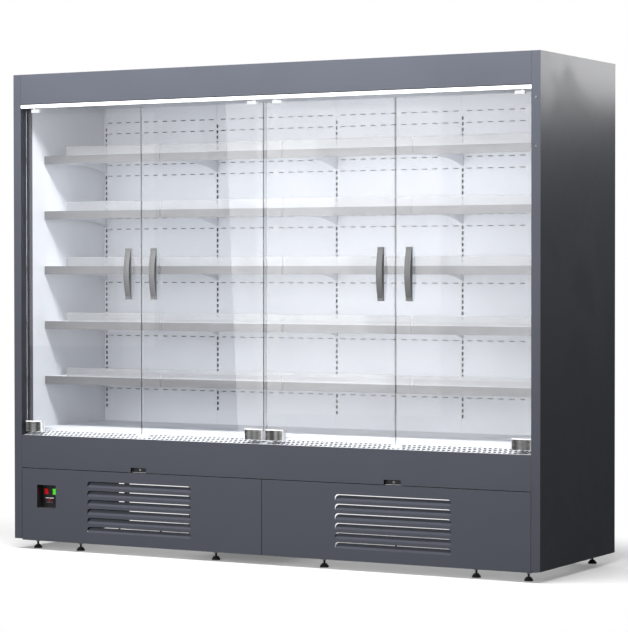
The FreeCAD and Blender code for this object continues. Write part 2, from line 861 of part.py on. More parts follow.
evaporator_fans = {"left": "-bay_width", "right": "bay_width"}
evaporator_height = "tub_floor + evaporator_fan_up"
fan_plate = extrusion("fan_plate_sheet", [
    ("fan_plate_front - fan_plate_ledge", "deck_top - deck_lip - steel"),
    ("fan_plate_front", "deck_top - deck_lip - steel"),
    ("fan_plate_front", "tub_floor"),
    ("fan_plate_front + fan_plate_foot", "tub_floor"),
    ("fan_plate_front + fan_plate_foot", "tub_floor + steel"),
    ("fan_plate_front + steel", "tub_floor + steel"),
    ("fan_plate_front + steel", "deck_top - deck_lip"),
    ("fan_plate_front - fan_plate_ledge", "deck_top - deck_lip"),
], "-half", "half")
cage_pieces = [fan_plate]
cage_cuts = []
for side, x in evaporator_fans.items():
    cage_cuts.append(rod(f"fan_mouth_{side}", x, "fan_plate_front - fit_gap", evaporator_height,
                         "evaporator_fan_radius + fan_gap", "2 * steel", "y"))
    pieces, bore = fan_cage(f"evaporator_{side}", x, "fan_plate_front + steel", evaporator_height,
                            "(evaporator_fan_radius + fan_gap)")
    cage_pieces += pieces
    cage_cuts.append(bore)
    node(fan_rotor(f"evaporator_fan_{side}", x, "fan_plate_front + steel", evaporator_height,
                   "evaporator_fan_radius"))
node(cut("evaporator_fan_plate", join("fan_plate_joined", cage_pieces), cage_cuts))


def coil(label, x, y, z, wide, deep, high):
    """A finned block between two end plates, with tube bends standing out of both."""
    fins = block(label + "_fins", f"{x} + end_plate", y, z, f"{wide} - 2 * end_plate", deep, high)
    pieces = [fins]
    for end, at in (("left", x), ("right", f"{x} + {wide} - end_plate")):
        pieces.append(block(f"{label}_plate_{end}", at, y, z, "end_plate", deep, high))
    count = max(1, int(value(f"({high} - tube_pitch) / tube_pitch")))
    for number in range(count):
        pieces.append(rod(f"{label}_tube_{number}", f"{x} - tube_radius * 2", f"{y} + {deep} / 2",
                          f"{z} + ({number} + 1) * tube_pitch", "tube_radius",
                          f"{wide} + 4 * tube_radius", "x"))
    return join(label, pieces)


node(coil("evaporator_coil", "-half + coil_inset", "coil_front", "tub_floor",
          "2 * half - 2 * coil_inset", "coil_depth", "coil_height"))

# --- bumper and kick panels ------------------------------------------------------------------

bumper = start("front_bumper")
pad(bumper, draw(bumper, "YZ_Plane", [
    ("0", "0"),
    ("bumper_depth - fit_gap", "0"),
    ("bumper_depth - fit_gap", "steel"),
    ("steel", "steel"),
    ("steel", "bumper_height - steel"),
    ("bumper_depth - fit_gap", "bumper_height - steel"),
    ("bumper_depth - fit_gap", "bumper_height"),
    ("0", "bumper_height"),
]), "2 * half - 2 * fit_gap")
for side in (-1, 1):
    middle = f"half - fit_gap + {side} * bay_width"
    pocket(bumper, draw(bumper, "XZ_Plane", box_corners(
        f"{middle} - notch_width / 2", "-steel", f"{middle} + notch_width / 2", "notch_height")))
node(place(bumper, "-half + fit_gap", "0", "kick_top"))


def kick_panel(label, middle, recess):
    """A shallow tray with a bank of louvres, each a flap bent inwards about its lower edge."""
    body = start(label)
    wide = "(bay_width - kick_joint / 2)"
    low, high = "-louvre_base", "kick_height - louvre_base - kick_joint"
    pad(body, draw(body, "XZ_Plane", box_corners(f"-{wide}", low, wide, high)), "kick_return", back=True)
    inside = draw(body, "XZ_Plane", box_corners(f"-{wide} + steel", f"{low} + steel",
                                                f"{wide} - steel", f"{high} - steel"))
    inside.setExpression("AttachmentOffset.Base.z", bound("-steel"))
    pocket(body, inside, "kick_return")
    half_louvre = "louvre_width / 2"
    mouth = draw(body, "XZ_Plane", [
        (f"-{half_louvre}", "0"),
        (half_louvre, "0"),
        (half_louvre, "louvre_height - louvre_radius"),
        (f"{half_louvre} - louvre_radius", "louvre_height", "arc"),
        (f"-{half_louvre} + louvre_radius", "louvre_height"),
        (f"-{half_louvre}", "louvre_height - louvre_radius", "arc"),
    ])
    count = "floor((kick_height - louvre_base) / louvre_pitch)"
    repeat(body, pocket(body, mouth), (mouth, ["V_Axis"]), "louvre_pitch", count)
    half_flap = "(louvre_width / 2 - fit_gap)"
    flap = draw(body, "XZ_Plane", [
        (f"-{half_flap}", "0"),
        (half_flap, "0"),
        (half_flap, "louvre_height - louvre_radius"),
        (f"{half_flap} - louvre_radius", "louvre_height", "arc"),
        (f"-{half_flap} + louvre_radius", "louvre_height"),
        (f"-{half_flap}", "louvre_height - louvre_radius", "arc"),
    ])
    flap.AttachmentOffset = FreeCAD.Placement(FreeCAD.Vector(), FreeCAD.Rotation(FreeCAD.Vector(1, 0, 0), -1))
    flap.setExpression("AttachmentOffset.Rotation.Angle", bound("-louvre_angle"))
    repeat(body, pad(body, flap, "steel", back=True), (mouth, ["V_Axis"]), "louvre_pitch", count)
    if recess:
        left = f"control_left - ({middle})"
        floor = "control_base - louvre_base"
        pocket(body, draw(body, "XZ_Plane", box_corners(
            left, floor, f"{left} + control_width", f"{floor} + control_height")))
    return place(body, middle, "0", "kick_gap + louvre_base")


node(kick_panel("kick_panel_left", "-bay_width", True))
node(kick_panel("kick_panel_right", "bay_width", False))

# --- controls --------------------------------------------------------------------------------

def rocker_seat(inset, tool):
    """The housing of one rocker, or with tool the pocket and pin bores in it."""
    x = f"control_left + {inset}"
    grow = "rocker_gap" if tool else "rocker_gap + rocker_wall"
    seat = block(f"rocker_seat_{inset}_{tool}", f"{x} - rocker_width / 2 - {grow}",
                 "rocker_plane - fit_gap" if tool else "rocker_plane",
                 f"control_floor + rocker_up - rocker_height / 2 - {grow}",
                 f"rocker_width + 2 * ({grow})",
                 "rocker_depth + fit_gap" if tool else "rocker_depth + control_wall",
                 f"rocker_height + 2 * ({grow})")
    if not tool:
        return [seat]
    bore = rod(f"rocker_bore_{inset}", f"{x} - rocker_width / 2 - rocker_gap - rocker_wall + fit_gap",
               "rocker_plane + rocker_depth / 2", "control_floor + rocker_up",
               "rocker_pin + running_gap",
               "rocker_width + 2 * rocker_gap + 2 * rocker_wall - 2 * fit_gap", "x")
    return [seat, bore]


box_left = "control_left - control_wall"
box_floor = "control_floor - control_wall"
box_outer = block("control_box_outer", box_left, "steel + fit_gap", box_floor,
                  "control_width + 2 * control_wall", "control_depth + control_wall - steel - fit_gap",
                  "control_height + 2 * control_wall")
box_inner = block("control_box_inner", "control_left", "0", "control_floor",
                  "control_width", "control_depth", "control_height")
box_arm = block("control_box_arm", "post_inset - half", "control_depth + control_wall",
                "control_floor + control_height / 3", "post_width",
                "frame_front - control_depth - control_wall", "control_height / 3")
seats = rocker_seat("red_inset", False) + rocker_seat("green_inset", False)
meter_hole = block("meter_hole", "control_left + meter_inset + fit_gap + meter_stand",
                   "control_depth - fit_gap",
                   "control_floor + meter_up + meter_stand", "meter_width - 2 * meter_stand - 2 * fit_gap",
                   "control_wall + 2 * fit_gap", "meter_height - 2 * meter_stand")
node(cut("control_box", join("control_box_joined", [box_outer, box_arm] + seats),
         [box_inner, meter_hole] + rocker_seat("red_inset", True) + rocker_seat("green_inset", True)))


def rocker(label, inset):
    """A cap with a shallow valley across its face, on a pin, tipped to its rest side."""
    body = start(label)
    face = "(rocker_stand + rocker_depth / 2)"
    half_high = "rocker_height / 2"
    pad(body, draw(body, "YZ_Plane", [
        (f"-{face}", f"-{half_high}"),
        ("rocker_depth / 4", f"-{half_high}"),
        ("rocker_depth / 4", half_high),
        (f"-{face}", half_high),
        (f"-{face} + rocker_stand / 2", "0"),
    ]), "rocker_width", both=True)
    pivot = draw(body, "YZ_Plane")
    ring(pivot, "0", "0", "rocker_pin")
    pad(body, pivot, "rocker_width + 2 * rocker_gap + rocker_wall", both=True)
    body.Placement = FreeCAD.Placement(FreeCAD.Vector(), FreeCAD.Rotation(FreeCAD.Vector(1, 0, 0), 1))
    body.setExpression("Placement.Rotation.Angle", bound("rocker_angle"))
    return place(body, f"control_left + {inset}", "rocker_plane + rocker_depth / 2",
                 "control_floor + rocker_up")


node(rocker("main_switch", "red_inset"))
node(rocker("lamp_switch", "green_inset"))

meter_left = "control_left + meter_inset"
meter_floor = "control_floor + meter_up"
meter_face = block("meter_face", meter_left, "control_depth - meter_stand", meter_floor,
                   "meter_width", "meter_stand", "meter_height")
meter_back = block("meter_back", f"{meter_left} + meter_stand + 2 * fit_gap", "control_depth",
                   f"{meter_floor} + meter_stand + fit_gap", "meter_width - 2 * meter_stand - 4 * fit_gap",
                   "meter_depth - meter_stand", "meter_height - 2 * meter_stand - 2 * fit_gap")
meter_window = block("meter_window", f"{meter_left} + (meter_width - window_width) / 2",
                     "control_depth - meter_stand", f"{meter_floor} + (meter_height - window_height) / 2",
                     "window_width", "window_sink", "window_height")
node(cut("thermostat", join("meter_joined", [meter_face, meter_back]), [meter_window]))

# --- doors -----------------------------------------------------------------------------------

def door_glass(number, axis, reach):
    """A frameless pane, notched at its lower hinge corner, with two holes for the handle's bolts."""
    body = start(f"door_{number}_glass")
    hinge = f"{reach} * -tail"
    meeting = f"{reach} * (bay_width - pivot_inset - meeting_gap)"
    notch = f"{reach} * (patch_width - tail)"
    notch_top = "patch_base + patch_height - patch_slot"
    pane = draw(body, "XZ_Plane", [
        (notch, "glass_base"),
        (meeting, "glass_base"),
        (meeting, "glass_top"),
        (hinge, "glass_top"),
        (hinge, notch_top),
        (notch, notch_top),
    ])
    handle = f"{reach} * (bay_width - pivot_inset - handle_inset)"
    for side in (-1, 1):
        ring(pane, handle, f"handle_centre + {side} * (handle_length - handle_foot) / 2",
             "handle_bolt + fit_gap")
    pad(body, pane, "glass_thick", both=True)
    return place(body, axis, "door_plane", "0")


def patch_fitting(number, axis, reach):
    """The block that carries the pane's lower corner and turns on the floor pin."""
    body = start(f"door_{number}_patch")
    front, back = "-(glass_thick / 2 + patch_front)", "glass_thick / 2 + patch_back"
    near, far = f"{reach} * -tail", f"{reach} * (patch_width - tail)"
    shape = pad(body, draw(body, "XY_Plane", box_corners(near, front, far, back)), "patch_height")
    body.recompute(True)
    bevel = body.newObject("PartDesign::Chamfer", "Chamfer")
    bevel.Base = (shape, [f"Edge{count}" for count, edge in enumerate(shape.Shape.Edges, 1)
                          if all(abs(point.Y - value(front)) < 0.01 for point in edge.Vertexes)])
    bevel.setExpression("Size", bound("patch_bevel"))
    seat = draw(body, "YZ_Plane", box_corners("-glass_thick / 2", "patch_height - patch_slot",
                                              "glass_thick / 2", "patch_height + fit_gap"))
    pocket(body, seat)
    bore = draw(body, "XY_Plane")
    ring(bore, "0", "0", "pin_radius + running_gap")
    pocket(body, bore, "patch_bore", back=True)
    return place(body, axis, "door_plane", "patch_base")


def door_fittings(number, axis, reach):
    """The bottom patch, and the small block on the pane's top edge with its pivot stem."""
    patch = patch_fitting(number, axis, reach)
    lead = "-block_tail" if reach > 0 else "-(block_length - block_tail)"
    cap = block(f"door_{number}_cap", f"{axis} + ({lead})", "door_plane - block_depth / 2", "block_base",
                "block_length", "block_depth", "block_height")
    seat = block(f"door_{number}_cap_seat", f"{axis} + ({lead})",
                 "door_plane - glass_thick / 2", "block_base", "block_length", "glass_thick", "block_slot")
    stem = rod(f"door_{number}_stem", axis, "door_plane", "block_base + block_height", "stem_radius",
               "canopy_base + stem_engage - block_base - block_height")
    top = cut(f"door_{number}_top", join(f"door_{number}_cap_stem", [cap, stem]), [seat])
    return group(f"door_{number}_fittings", [patch, top])


def door_handle(number, axis, reach):
    """A ridged bow with a flat crown on a straight plate, its two ends bolted through the pane."""
    body = start(f"door_{number}_handle")
    half_long = "handle_length / 2"
    thick = "(handle_side + handle_bevel - handle_flat)"
    sag = f"(handle_reach - {thick})"
    radius = f"(({half_long}) ^ 2 + {sag} ^ 2) / (2 * {sag})"
    wide = "handle_width / 2"
    section = draw(body, "XY_Plane", [
        (wide, f"-{sag}"),
        (wide, f"-{sag} - handle_side"),
        ("0", f"-{sag} - handle_side - handle_bevel"),
        (f"-{wide}", f"-{sag} - handle_side"),
        (f"-{wide}", f"-{sag}"),
    ])
    begin = FreeCAD.Vector(0, value(f"{radius} - {sag}"), 0)
    axle = section.addGeometry(Part.LineSegment(begin, begin + FreeCAD.Vector(value(wide), 0, 0)), True)
    pin(section, axle, 1, "0", f"{radius} - {sag}")
    pin(section, axle, 2, wide, f"{radius} - {sag}")
    bow = body.newObject("PartDesign::Revolution", "Revolution")
    bow.Profile = section
    bow.ReferenceAxis = (section, ["Axis0"])
    bow.Midplane = True
    bow.setExpression("Angle", bound(f"2 * asin({half_long} / ({radius})) + 12 deg"))
    for side in (-1, 1):
        low = "handle_length / 2 - handle_foot" if side > 0 else "-handle_length / 2"
        foot = draw(body, "YZ_Plane", box_corners("-handle_end", low, "0", f"{low} + handle_foot"))
        pad(body, foot, "handle_width", both=True)
    plate = draw(body, "YZ_Plane", box_corners("-handle_plate", f"-{half_long}", "0", half_long))
    pad(body, plate, "handle_width", both=True)
    far = "handle_length"
    window = draw(body, "YZ_Plane", box_corners(f"-{far}", f"-{far}", far, far))
    loop(window, box_corners("-handle_reach", f"-{half_long}", "0", half_long))
    pocket(body, window)
    for side in (-1, 1):
        bolt = draw(body, "XZ_Plane")
        ring(bolt, "0", f"{side} * (handle_length - handle_foot) / 2", "handle_bolt")
        pad(body, bolt, "glass_thick", back=True)
        cap = draw(body, "XZ_Plane")
        ring(cap, "0", f"{side} * (handle_length - handle_foot) / 2", "handle_cap")
        cap.setExpression("AttachmentOffset.Base.z", bound("-glass_thick"))
        pad(body, cap, "handle_cap_thick", back=True)
    return place(body, f"{axis} + {reach} * (bay_width - pivot_inset - handle_inset)", "door_setback",
                 "handle_centre")


for number, (axis, reach) in doors.items():
    node(door_glass(number, axis, reach))
    node(door_fittings(number, axis, reach))
    node(door_handle(number, axis, reach))

pins = []
for number, (axis, reach) in doors.items():
    foot = block(f"floor_pin_{number}_base", f"{axis} - pin_base_length / 2",
                 "door_plane - pin_base_width / 2", "tub_top",
                 "pin_base_length", "pin_base_width", "pin_base_height")
    collar = rod(f"floor_pin_{number}_collar", axis, "door_plane", "tub_top + pin_base_height", "pin_collar",
                 "patch_base - tub_top - pin_base_height - fit_gap")
    shaft = rod(f"floor_pin_{number}_shaft", axis, "door_plane", "patch_base - fit_gap", "pin_radius",
                "patch_bore - 2 * fit_gap")
    pins.append(join(f"floor_pin_{number}", [foot, collar, shaft]))
node(group("door_floor_pins", pins))


def door_stop(label, x):
    """A block that narrows upwards, on the sloping grille behind the panes' meeting edges."""
    body = start(label)
    stop_front = "(door_setback + glass_thick + stop_gap)"
    floor = "-(deck_rise - grille_drop)"
    pad(body, draw(body, "XZ_Plane", [
        ("-stop_base / 2", floor),
        ("stop_base / 2", floor),
        ("stop_base / 2", "0"),
        ("stop_top / 2", "stop_height"),
        ("-stop_top / 2", "stop_height"),
        ("-stop_base / 2", "0"),
    ]), "stop_depth", back=True)
    slope = draw(body, "YZ_Plane", [
        ("0", f"2 * {floor}"),
        ("stop_depth", f"2 * {floor}"),
        ("stop_depth", f"({stop_front} + stop_depth - bumper_depth) * {grille_rise}"),
        ("0", f"({stop_front} - bumper_depth) * {grille_rise}"),
    ])
    pocket(body, slope)
    return place(body, x, stop_front, "bumper_top")


node(group("door_stops", [door_stop("door_stop_left", "-bay_width"),
                          door_stop("door_stop_right", "bay_width")]))

# --- base frame and feet ---------------------------------------------------------------------

rail_lines = {"front": "frame_front", "back": "rear_rail"}
rail_places = {
    "left": "-half",
    "machine_left": "-machine_left + frame_tube / 2",
    "machine_right": "-machine_left + machine_rail",
    "right": "half - frame_tube",
}
post_places = ["-half + post_inset", "half - post_inset - post_width"]
post_places += [f"{rail_places[label]} + (frame_tube - post_width) / 2"
                for label in ("machine_left", "machine_right")]
foot_places = [f"{side} * (half - {inset})" for side in (-1, 1) for inset in ("foot_end", "foot_second")]
foot_places += ["-foot_middle", "foot_middle"]
foot_rows = {line: f"{y} + frame_tube / 2" for line, y in rail_lines.items()}
bore = "frame_tube - 2 * frame_wall"
tubes = []
for line, y in rail_lines.items():
    outer = block(f"{line}_rail_block", "-half", y, "frame_base", "2 * half", "frame_tube", "frame_tube")
    hollow = block(f"{line}_rail_bore", "-half", f"{y} + frame_wall", "frame_base + frame_wall",
                   "2 * half", bore, bore)
    holes = [rod(f"foot_hole_{line}_{number}", x, foot_rows[line], "frame_base - fit_gap",
                 "foot_stem + running_gap", "frame_wall + 2 * fit_gap")
             for number, x in enumerate(foot_places)]
    tubes.append(cut(f"{line}_rail", outer, [hollow] + holes))
between = "rear_rail - frame_front - frame_tube"
for label, x in rail_places.items():
    behind = "frame_front + frame_tube"
    outer = block(f"{label}_rail_block", x, behind, "frame_base", "frame_tube", between, "frame_tube")
    hollow = block(f"{label}_rail_bore", f"{x} + frame_wall", behind, "frame_base + frame_wall",
                   bore, between, bore)
    tubes.append(cut(f"{label}_rail", outer, [hollow]))
posts = [
    block(f"post_{line}_{number}", x, y, "frame_top", "post_width", "frame_tube", "kick_top - frame_top")
    for line, y in rail_lines.items()
    for number, x in enumerate(post_places)
]
# A plate in each corner, between the end of the long rail and its first post.
gussets = [
    block(f"gusset_{line}_{number}", x, y, "frame_top", "post_inset", "gusset_thick", "gusset_height")
    for line, y in rail_lines.items()
    for number, x in enumerate(["-half", "half - post_inset"])
]
node(group("base_frame", tubes + posts + gussets))


def foot():
    """A round pad with a sloping shoulder and a screwed stem."""
    body = start("foot_pattern")
    half_section = draw(body, "XZ_Plane", [
        ("0", "0"),
        ("foot_radius", "0"),
        ("foot_radius", "foot_rim"),
        ("foot_neck", "foot_pad"),
        ("foot_stem", "foot_pad"),
        ("foot_stem", "frame_base + foot_engage"),
        ("0", "frame_base + foot_engage"),
    ])
    turned_foot = body.newObject("PartDesign::Revolution", "Revolution")
    turned_foot.Profile = half_section
    turned_foot.ReferenceAxis = (half_section, ["V_Axis"])
    return place(body, "0", foot_rows["front"], "0")


foot_offsets = [(x, f"({y}) - ({foot_rows['front']})", "0") for y in foot_rows.values() for x in foot_places]
node(copies("levelling_feet", foot(), foot_offsets))

nut_blank = doc.addObject("Part::Prism", "nut_blank")
nut_blank.Polygon = 6
nut_blank.setExpression("Circumradius", bound("nut_across / 2 / cos(30)"))
nut_blank.setExpression("Height", bound("nut_height"))
place(nut_blank, "0", foot_rows["front"], "frame_base - nut_height")
nut_bore = rod("nut_bore", "0", foot_rows["front"], "frame_base - nut_height", "foot_stem + running_gap",
               "nut_height")
node(copies("foot_lock_nuts", cut("nut_pattern", nut_blank, [nut_bore]), foot_offsets))

# --- condensing unit -------------------------------------------------------------------------

unit_outer = block("machine_tray_outer", "-machine_left", "machine_tray_front", "frame_top",
                   "machine_tray_width", "machine_tray_depth", "machine_tray_rim")
unit_inner = block("machine_tray_inner", "-machine_left + end_plate", "machine_tray_front + end_plate",
                   "machine_base", "machine_tray_width - 2 * end_plate", "machine_tray_depth - 2 * end_plate",
                   "machine_tray_rim")
node(cut("condensing_tray", unit_outer, [unit_inner]))

unit_left = "-machine_left + machine_inset"
unit_middle = f"({unit_left} + machine_width / 2)"
fan_height = "machine_base + condenser_height / 2"
shroud_front = "condenser_front + condenser_depth"
node(coil("condenser_coil", unit_left, "condenser_front", "machine_base",
          "machine_width", "condenser_depth", "condenser_height"))

shroud_outer = block("shroud_outer", unit_left, shroud_front, "machine_base",
                     "machine_width", "shroud_gap + end_plate", "condenser_height")
shroud_inner = block("shroud_inner", f"{unit_left} + end_plate", shroud_front, "machine_base + end_plate",
                     "machine_width - 2 * end_plate", "shroud_gap", "condenser_height - 2 * end_plate")
shroud_mouth = rod("shroud_mouth", unit_middle, f"{shroud_front} + shroud_gap", fan_height,
                   "condenser_fan_radius + fan_gap", "end_plate + fit_gap", "y")
shroud_back = f"{shroud_front} + shroud_gap + end_plate"
cage, cage_bore = fan_cage("condenser", unit_middle, shroud_back, fan_height,
                           "(condenser_fan_radius + fan_gap)")
node(cut("condenser_fan_shroud", join("shroud_joined", [shroud_outer] + cage),
         [shroud_inner, shroud_mouth, cage_bore]))
node(fan_rotor("condenser_fan", unit_middle, shroud_back, fan_height, "condenser_fan_radius"))


def compressor():
    """A welded drum with domed ends on a base plate."""
    body = start("compressor")
    round_wall = draw(body, "XY_Plane")
    ring(round_wall, "0", "0", "compressor_radius")
    drum = pad(body, round_wall, "compressor_height")
    body.recompute(True)
    domes = body.newObject("PartDesign::Fillet", "Fillet")
    domes.Base = (drum, [f"Edge{number}" for number, edge in enumerate(drum.Shape.Edges, 1)
                         if isinstance(edge.Curve, Part.Circle)])
    domes.setExpression("Radius", bound("compressor_dome"))
    plate = draw(body, "XY_Plane", box_corners("-compressor_radius", "-compressor_radius",
                                               "compressor_radius", "compressor_radius"))
    pad(body, plate, "2 * end_plate")
    return place(body, unit_middle, "compressor_back", "machine_base")


node(compressor())

# --- small fasteners -------------------------------------------------------------------------

fasteners = []
for side in (-1, 1):
    x = f"{side} * bay_width"
    head = rod(f"screw_head_{side}", x, "bumper_depth - screw_head", "kick_top + screw_up",
               "screw_radius", "screw_head", "y")
    shank = rod(f"screw_shank_{side}", x, "bumper_depth", "kick_top + screw_up",
                "screw_shank", "screw_length", "y")
    fasteners.append(join(f"notch_screw_{side}", [head, shank]))
for number in range(2):
    fasteners.append(rod(f"plug_{number}", "half + side_thick / 2", "-plug_thick",
                         f"case_top - (plug_drop + {number} * plug_pitch)", "plug_radius", "plug_thick", "y"))
node(group("panel_screws", fasteners))

# --- build and write -------------------------------------------------------------------------

doc.recompute()
for made, source, offsets in arrays:
    shapes = []
    for offset in offsets:
        shape = source.Shape.copy()
        shape.translate(FreeCAD.Vector(*[value(step) for step in offset]))
        shapes.append(shape)
    made.Shape = Part.makeCompound(shapes)
doc.recompute()

failed = [thing.Label for thing in doc.Objects if "Invalid" in thing.State or "Error" in thing.State]
failed += [thing.Label for thing in nodes if thing.Shape.isNull() or not thing.Shape.isValid()]
if failed:
    raise SystemExit("failed: " + ", ".join(failed))

os.makedirs("parts", exist_ok=True)
for thing in nodes:
    thing.Shape.exportStep(f"parts/{thing.Label}.step")
    corners = thing.Shape.BoundBox
    print(f"{thing.Label}: {len(thing.Shape.Solids)} solids, {thing.Shape.Volume / 1000:.1f} cm3,",
          f"{corners.XLength:.1f} x {corners.YLength:.1f} x {corners.ZLength:.1f} mm")
print(len(nodes), "nodes")
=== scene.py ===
import math
import bpy
from mathutils import Matrix, Vector


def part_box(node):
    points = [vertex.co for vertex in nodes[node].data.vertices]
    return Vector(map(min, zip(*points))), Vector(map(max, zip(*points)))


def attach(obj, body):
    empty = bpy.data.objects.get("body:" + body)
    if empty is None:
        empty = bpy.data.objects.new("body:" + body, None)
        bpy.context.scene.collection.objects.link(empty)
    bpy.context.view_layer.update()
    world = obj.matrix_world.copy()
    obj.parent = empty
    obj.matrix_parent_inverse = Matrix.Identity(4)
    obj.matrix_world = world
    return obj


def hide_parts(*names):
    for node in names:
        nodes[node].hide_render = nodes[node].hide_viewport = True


# Multideck display fridge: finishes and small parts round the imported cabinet. Metres, Z up.

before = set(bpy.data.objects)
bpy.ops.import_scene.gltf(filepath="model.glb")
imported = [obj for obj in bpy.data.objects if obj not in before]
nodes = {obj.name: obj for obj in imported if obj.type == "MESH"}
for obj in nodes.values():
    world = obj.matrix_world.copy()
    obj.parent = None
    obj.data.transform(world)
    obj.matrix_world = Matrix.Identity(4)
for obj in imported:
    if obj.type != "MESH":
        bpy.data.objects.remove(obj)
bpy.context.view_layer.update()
scene = bpy.context.scene
bpy.ops.object.select_all(action="DESELECT")
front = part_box("right_side_skin")[0].y
print("frame loaded,", len(nodes), "nodes")

# camera, floor, lamps and world

camera = {
    "place": (5.2534, front - 8.9329, 1.2683),
    "turn": 29.223,
    "tilt": -1.160,
    "roll": -0.052,
    "focal": 139.11,
}
cameraData = bpy.data.cameras.new("photoCamera")
cameraData.lens = camera["focal"]
cameraObject = bpy.data.objects.new("photoCamera", cameraData)
scene.collection.objects.link(cameraObject)
cameraObject.matrix_world = (
    Matrix.Translation(camera["place"])
    @ Matrix.Rotation(math.radians(camera["turn"]), 4, "Z")
    @ Matrix.Rotation(math.radians(90 + camera["tilt"]), 4, "X")
    @ Matrix.Rotation(math.radians(camera["roll"]), 4, "Z")
)
scene.camera = cameraObject
scene.view_settings.view_transform = "Standard"

lamps = {
    "frontSoftbox": {"place": (-0.3, -6.5, 1.6), "aim": (0, 0, 1.1), "size": (7, 4), "power": 315},
    "topStrip": {"place": (0, -1.5, 3.2), "aim": (0, -0.3, 1.4), "size": (5, 0.5), "power": 175},
    "backSoftbox": {"place": (-1.6, 7, 3), "aim": (0, 0.3, 1), "size": (6, 3), "power": 400},
    "cabinetGlow": {"place": (-0.1, -0.345, 1.33), "aim": (-0.55, 1, 1.18), "size": (1.8, 1.15), "power": 4.0},
    "ledStrip": {"place": (0, -0.34, 1.976), "aim": (0, 0.1, 1.0), "size": (1.9, 0.03), "power": 1.0},
    "sideGlow": {"place": (1.95, 1.5, 2.35), "aim": (1.3, 0.1, 1.95), "size": (0.9, 0.6), "power": 11},
    "highBand": {"place": (-4.5, -9.6, 3.6), "aim": (0, 0, 1.0), "size": (6, 1.4), "power": 75},
    "middleBand": {"place": (-4.6, -9.6, 1.31), "aim": (-2, 0, 1.31), "size": (1.6, 2.6), "power": 8},
    "leftBand": {"place": (-7.3, -9.6, 1.6), "aim": (-4, 0, 1.6), "size": (1.3, 2.1), "power": 4},
}
mirroredLamps = ["sideGlow", "highBand", "middleBand", "leftBand"]


def addLamp(name, settings):
    lampData = bpy.data.lights.new(name, "AREA")
    lampData.shape = "RECTANGLE"
    lampData.size, lampData.size_y = settings["size"]
    lampData.energy = settings["power"]
    lamp = bpy.data.objects.new(name, lampData)
    scene.collection.objects.link(lamp)
    lamp.location = settings["place"]
    aim = Vector(settings["aim"]) - Vector(settings["place"])
    lamp.rotation_euler = aim.to_track_quat("-Z", "Y").to_euler()
    lamp.visible_camera = False
    lamp.visible_glossy = name in mirroredLamps
    return lamp


for lampName, settings in lamps.items():
    addLamp(lampName, settings)


def put(tree, kind, settings=None, **values):
    # a node with its settings, and its inputs set or linked by name
    node = tree.nodes.new("ShaderNode" + kind)
    for name, value in (settings or {}).items():
        setattr(node, name, value)
    for name, value in values.items():
        socket = node.inputs[name.replace("_", " ")]
        if isinstance(value, bpy.types.NodeSocket):
            tree.links.new(value, socket)
        else:
            socket.default_value = value
    return node


def calc(tree, operation, *values, clamp=False):
    node = put(tree, "Math", {"operation": operation, "use_clamp": clamp})
    for socket, value in zip(node.inputs, values):
        if isinstance(value, bpy.types.NodeSocket):
            tree.links.new(value, socket)
        else:
            socket.default_value = value
    return node.outputs[0]


def mixColours(tree, factor, first, second, mode="MIX"):
    node = put(tree, "Mix", {"data_type": "RGBA", "blend_type": mode})
    for socket, value in zip((node.inputs[0], node.inputs[6], node.inputs[7]), (factor, first, second)):
        if isinstance(value, bpy.types.NodeSocket):
            tree.links.new(value, socket)
        else:
            socket.default_value = value
    return node.outputs[2]


def remap(tree, value, low, high, newLow, newHigh):
    node = put(tree, "MapRange", {"interpolation_type": "SMOOTHSTEP"}, Value=value)
    for name, number in (("From Min", low), ("From Max", high), ("To Min", newLow), ("To Max", newHigh)):
        if isinstance(number, bpy.types.NodeSocket):
            tree.links.new(number, node.inputs[name])
        else:
            node.inputs[name].default_value = number
    return node.outputs[0]


backdrop = {"seen": 1.0, "mirrored": 0.3, "ambient": 0.1, "colour": (1, 1, 1, 1)}
world = bpy.data.worlds.new("studioWorld")
scene.world = world
world.use_nodes = True
world.node_tree.nodes.clear()
path = put(world.node_tree, "LightPath")
seen = calc(world.node_tree, "MAXIMUM", path.outputs["Is Camera Ray"], path.outputs["Is Transmission Ray"])
strength = remap(world.node_tree, path.outputs["Is Glossy Ray"], 0, 1, backdrop["ambient"], backdrop["mirrored"])
strength = remap(world.node_tree, seen, 0, 1, strength, backdrop["seen"])
sky = put(world.node_tree, "Background", Color=backdrop["colour"], Strength=strength)
put(world.node_tree, "OutputWorld", Surface=sky.outputs[0])

floorLook = {"size": 60, "seen": (0.9, 0.9, 0.9, 1), "bounced": (0.14, 0.14, 0.14, 1), "deep": 1.7,
             "near": 1.3, "far": 2.6, "lift": 0.2}
bpy.ops.mesh.primitive_plane_add(size=floorLook["size"], location=(0, 0, 0))
floor = bpy.context.object
floor.name = "studioFloor"
floorMaterial = bpy.data.materials.new("paleFloor")
floorMaterial.use_nodes = True
tree = floorMaterial.node_tree
tree.nodes.clear()
place = put(tree, "Mapping", {"vector_type": "POINT"}, Vector=put(tree, "TexCoord").outputs["Object"],
            Scale=(1, floorLook["deep"], 1)).outputs[0]
distance = put(tree, "VectorMath", {"operation": "LENGTH"})
tree.links.new(place, distance.inputs[0])
fade = remap(tree, distance.outputs["Value"], floorLook["near"], floorLook["far"], 0, 1)
glow = put(tree, "Emission", Color=(1, 1, 1, 1), Strength=1)
path = put(tree, "LightPath")
direct = calc(tree, "MAXIMUM", path.outputs["Is Camera Ray"], path.outputs["Is Transmission Ray"])
matte = put(tree, "BsdfDiffuse", Color=mixColours(tree, direct, floorLook["bounced"], floorLook["seen"]))
fade = calc(tree, "MULTIPLY", calc(tree, "MAXIMUM", fade, floorLook["lift"]), direct)
mixed = put(tree, "MixShader", Fac=fade)
tree.links.new(matte.outputs[0], mixed.inputs[1])
tree.links.new(glow.outputs[0], mixed.inputs[2])
